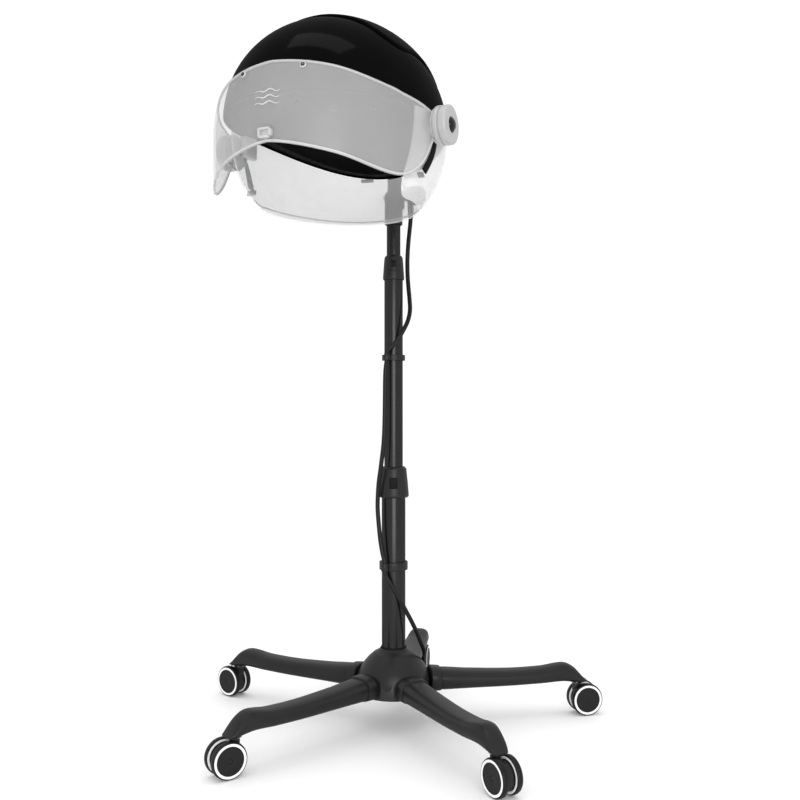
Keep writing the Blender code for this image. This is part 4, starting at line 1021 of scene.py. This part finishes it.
def build_visor():
    visor = piece("face_visor", shell_bmesh(visor_surface, 112, 22, VISOR_WALL, COLUMN + EAR), SMOKED,
                  "visor", ["visor"], sharp=60)
    discs = []
    for side in (-1, 1):
        near, far = sorted((side * (VISOR_HALF_WIDTH - VISOR_WALL), side * (VISOR_HALF_WIDTH + 0.0001)))
        discs.append(rod_bmesh(0.0235, ear_at(near), ear_at(far), 72, 0.0006))
    ears = piece("visor_ear_plates", joined(*discs), VISOR_EDGE, "visor")
    cut(ears, rod_bmesh(0.0064, ear_at(-0.2), ear_at(0.2), 36, 0))
    cut(visor, *[rod_bmesh(0.0234, ear_at(s * 0.150), ear_at(s * 0.170), 48, 0) for s in (-1, 1)])


def build_visor_edges():
    """Beads along both edges, and the tab that the visor is lifted by."""
    hinge = COLUMN + EAR
    lower = [visor_point(math.radians(-86 + 172 * k / 120), 0.0) for k in range(121)]
    lower = [p + (hinge - p).normalized() * 0.0014 + UP * 0.0016 for p in lower]
    piece("visor_lower_bead", sweep_bmesh(lower, 0.0017, 12), VISOR_EDGE, "visor")
    upper = [visor_point(math.radians(-84 + 168 * k / 120), 1.0) for k in range(121)]
    upper = [p + level(hinge - p) * 0.0015 - UP * 0.0013 for p in upper]
    piece("visor_upper_bead", sweep_bmesh(upper, 0.0015, 12), VISOR_EDGE, "visor")
    front = EAR.y - VISOR_REACH
    low, high = EAR.z - 0.0400, EAR.z - 0.0270
    bars = [slab((a, front - 0.0058, b), (c, front + 0.0008, d), 0.0006)
            for a, b, c, d in ((-0.0094, low, 0.0094, low + 0.0030),
                               (-0.0094, high - 0.0028, 0.0094, high),
                               (-0.0094, low, -0.0066, high), (0.0066, low, 0.0094, high))]
    back = slab((-0.0085, front - 0.0016, low + 0.001), (0.0085, front + 0.0010, high - 0.001), 0.0006)
    piece("visor_finger_tab", moved(joined(*bars, back), ON_COLUMN), VISOR_EDGE, "visor")


def build_visor_screws():
    for side, word in SIDES:
        angle = side * math.radians(16.7)
        seat = visor_point(angle, 0.94)
        normal = Vector((math.sin(angle), -math.cos(angle), 0.28)).normalized()
        boss = turned_bmesh([(0.0, 0.0011), (0.0036, 0.0010), (0.0044, -0.0006), (0.0, -0.0006)],
                            0.0004, seat, normal, 36)
        piece(f"visor_screw_boss_{word}", boss, VISOR_EDGE, "visor")
        screw = turned_bmesh([(0.0010, 0.0016), (0.0018, 0.0024), (0.0027, 0.0012), (0.0027, 0.0009),
                              (0.0, 0.0009), (0.0, 0.0016)], 0.0002, seat, normal, 28)
        piece(f"visor_screw_head_{word}", screw, SHINY, "visor", [f"visor_screw_{word}"])


def build_warm_air_mark():
    """Three printed waves, thin at their ends."""
    thickness = [0.0002 + 0.0006 * math.sin(math.pi * k / 32) for k in range(33)]
    waves = []
    for row in range(3):
        points = []
        for k in range(33):
            t = k / 32
            share = 0.62 - 0.075 * row + 0.014 * math.sin(t * math.tau * 2)
            points.append(visor_point(math.radians(-6.5 + 13 * t), share, 0.0001))
        waves.append(sweep_bmesh(points, thickness, 8))
    piece("warm_air_mark", joined(*waves), PRINT, "visor")


def arm_section(y, z, side, out):
    """Point beside the guard's outer face at a depth and height."""
    narrow = guard_narrowing(RIM_EARS - 0.0010, z)
    reach = (y - HOOD.y) / (GUARD_SEMI[1] * narrow)
    return at(side * (GUARD_SEMI[0] * narrow * math.sqrt(1 - reach ** 2) + out), y, z)


def build_arm(word, side):
    """Black arm down the side of the apron, and the grey clamp at its end."""
    line = spline(ARM_ROUTE, 5)
    bm = bmesh.new()
    rings = []
    for i, spot in enumerate(line):
        heading = line[min(i + 1, len(line) - 1)] - line[max(i - 1, 0)]
        heading.x = 0
        heading.normalize()
        ring = []
        for edge, out in ((-1, 0.0018), (-0.8, 0.0014), (0.8, 0.0014), (1, 0.0018), (1, 0.0031),
                          (0.8, 0.0036), (-0.8, 0.0036), (-1, 0.0031)):
            ring.append(bm.verts.new(arm_section(spot.y - heading.z * spot.x * edge,
                                                 spot.z + heading.y * spot.x * edge, side, out)))
        rings.append(ring)
    skin(bm, rings)
    bm.faces.new(rings[0])
    bm.faces.new(rings[-1])
    piece(f"apron_arm_{word}", bm, MATT, "hood", [f"ear_boss_{word}"])
    spot = arm_section(-0.2005, 0.8215, side, 0.0022)
    turn = Matrix.Rotation(math.radians(-16 * side), 4, "Y") @ Matrix.Rotation(math.radians(14), 4, "X")
    clamp = slab((-0.0014, -0.0095, -0.0038), (0.0014, 0.0095, 0.0038), 0.0008, 2,
                 Matrix.Translation(spot) @ turn)
    piece(f"apron_clamp_{word}", clamp, CLAMP, "hood")


def build_ears():
    for side, word in SIDES:
        out = SIDE * side
        near, far = sorted((0.1355 * side, 0.1446 * side))
        boss = slab((near, EAR.y - 0.0139, 0.8727), (far, EAR.y + 0.0139, 0.9030), 0.0012, 2, ON_COLUMN)
        piece(f"ear_mount_{word}", boss, MILKY_EDGE, "hood")
        shaft = rod_bmesh(0.0060, ear_at(0.1400 * side), ear_at(0.1704 * side), 32)
        piece(f"ear_shaft_{word}", shaft, STEEL, "hood")
        build_arm(word, side)
        knob = [(0.0100, 0.0172), (0.0112, 0.0189), (0.0126, 0.0191), (0.0134, 0.0181), (0.0180, 0.0181),
                (0.0188, 0.0186), (0.0240, 0.0189), (0.0256, 0.0184), (0.0265, 0.0168),
                (0.0265, 0.0094), (0.0260, 0.0086), (0.0247, 0.0084), (0.0246, 0.0071),
                (0.0259, 0.0068), (0.0265, 0.0058), (0.0265, 0.0012), (0.0255, 0.0001),
                (0.0064, 0.0001), (0.0064, 0.0085), (0.0, 0.0085), (0.0, 0.0172)]
        node = f"ear_knob_{word}"
        lathe(f"visor_knob_{word}", knob, ear_at(0.1627 * side), out, PALE, node, [node],
              "light_grey", 96, closed=False, radius=0.0004)
        cap = [(0.0, 0.0062), (0.0035, 0.0059), (0.0066, 0.0048), (0.0090, 0.0028), (0.0098, 0.0006),
               (0.0, 0.0003)]
        lathe(f"visor_knob_cap_{word}", cap, ear_at(0.1799 * side), out, CAP, node,
              [f"ear_cap_{word}"], "gloss_black", 64, closed=False, radius=0.0006)


build_camera()
build_studio()
build_strain_relief()
build_cords()
build_hub()
build_legs()
build_casters()
build_column()
build_clips()
build_bracket()
build_tilt_arm()
build_dome()
build_inner_shell()
build_blower()
build_console()
build_guard()
build_visor()
build_visor_edges()
build_visor_screws()
build_warm_air_mark()
build_ears()
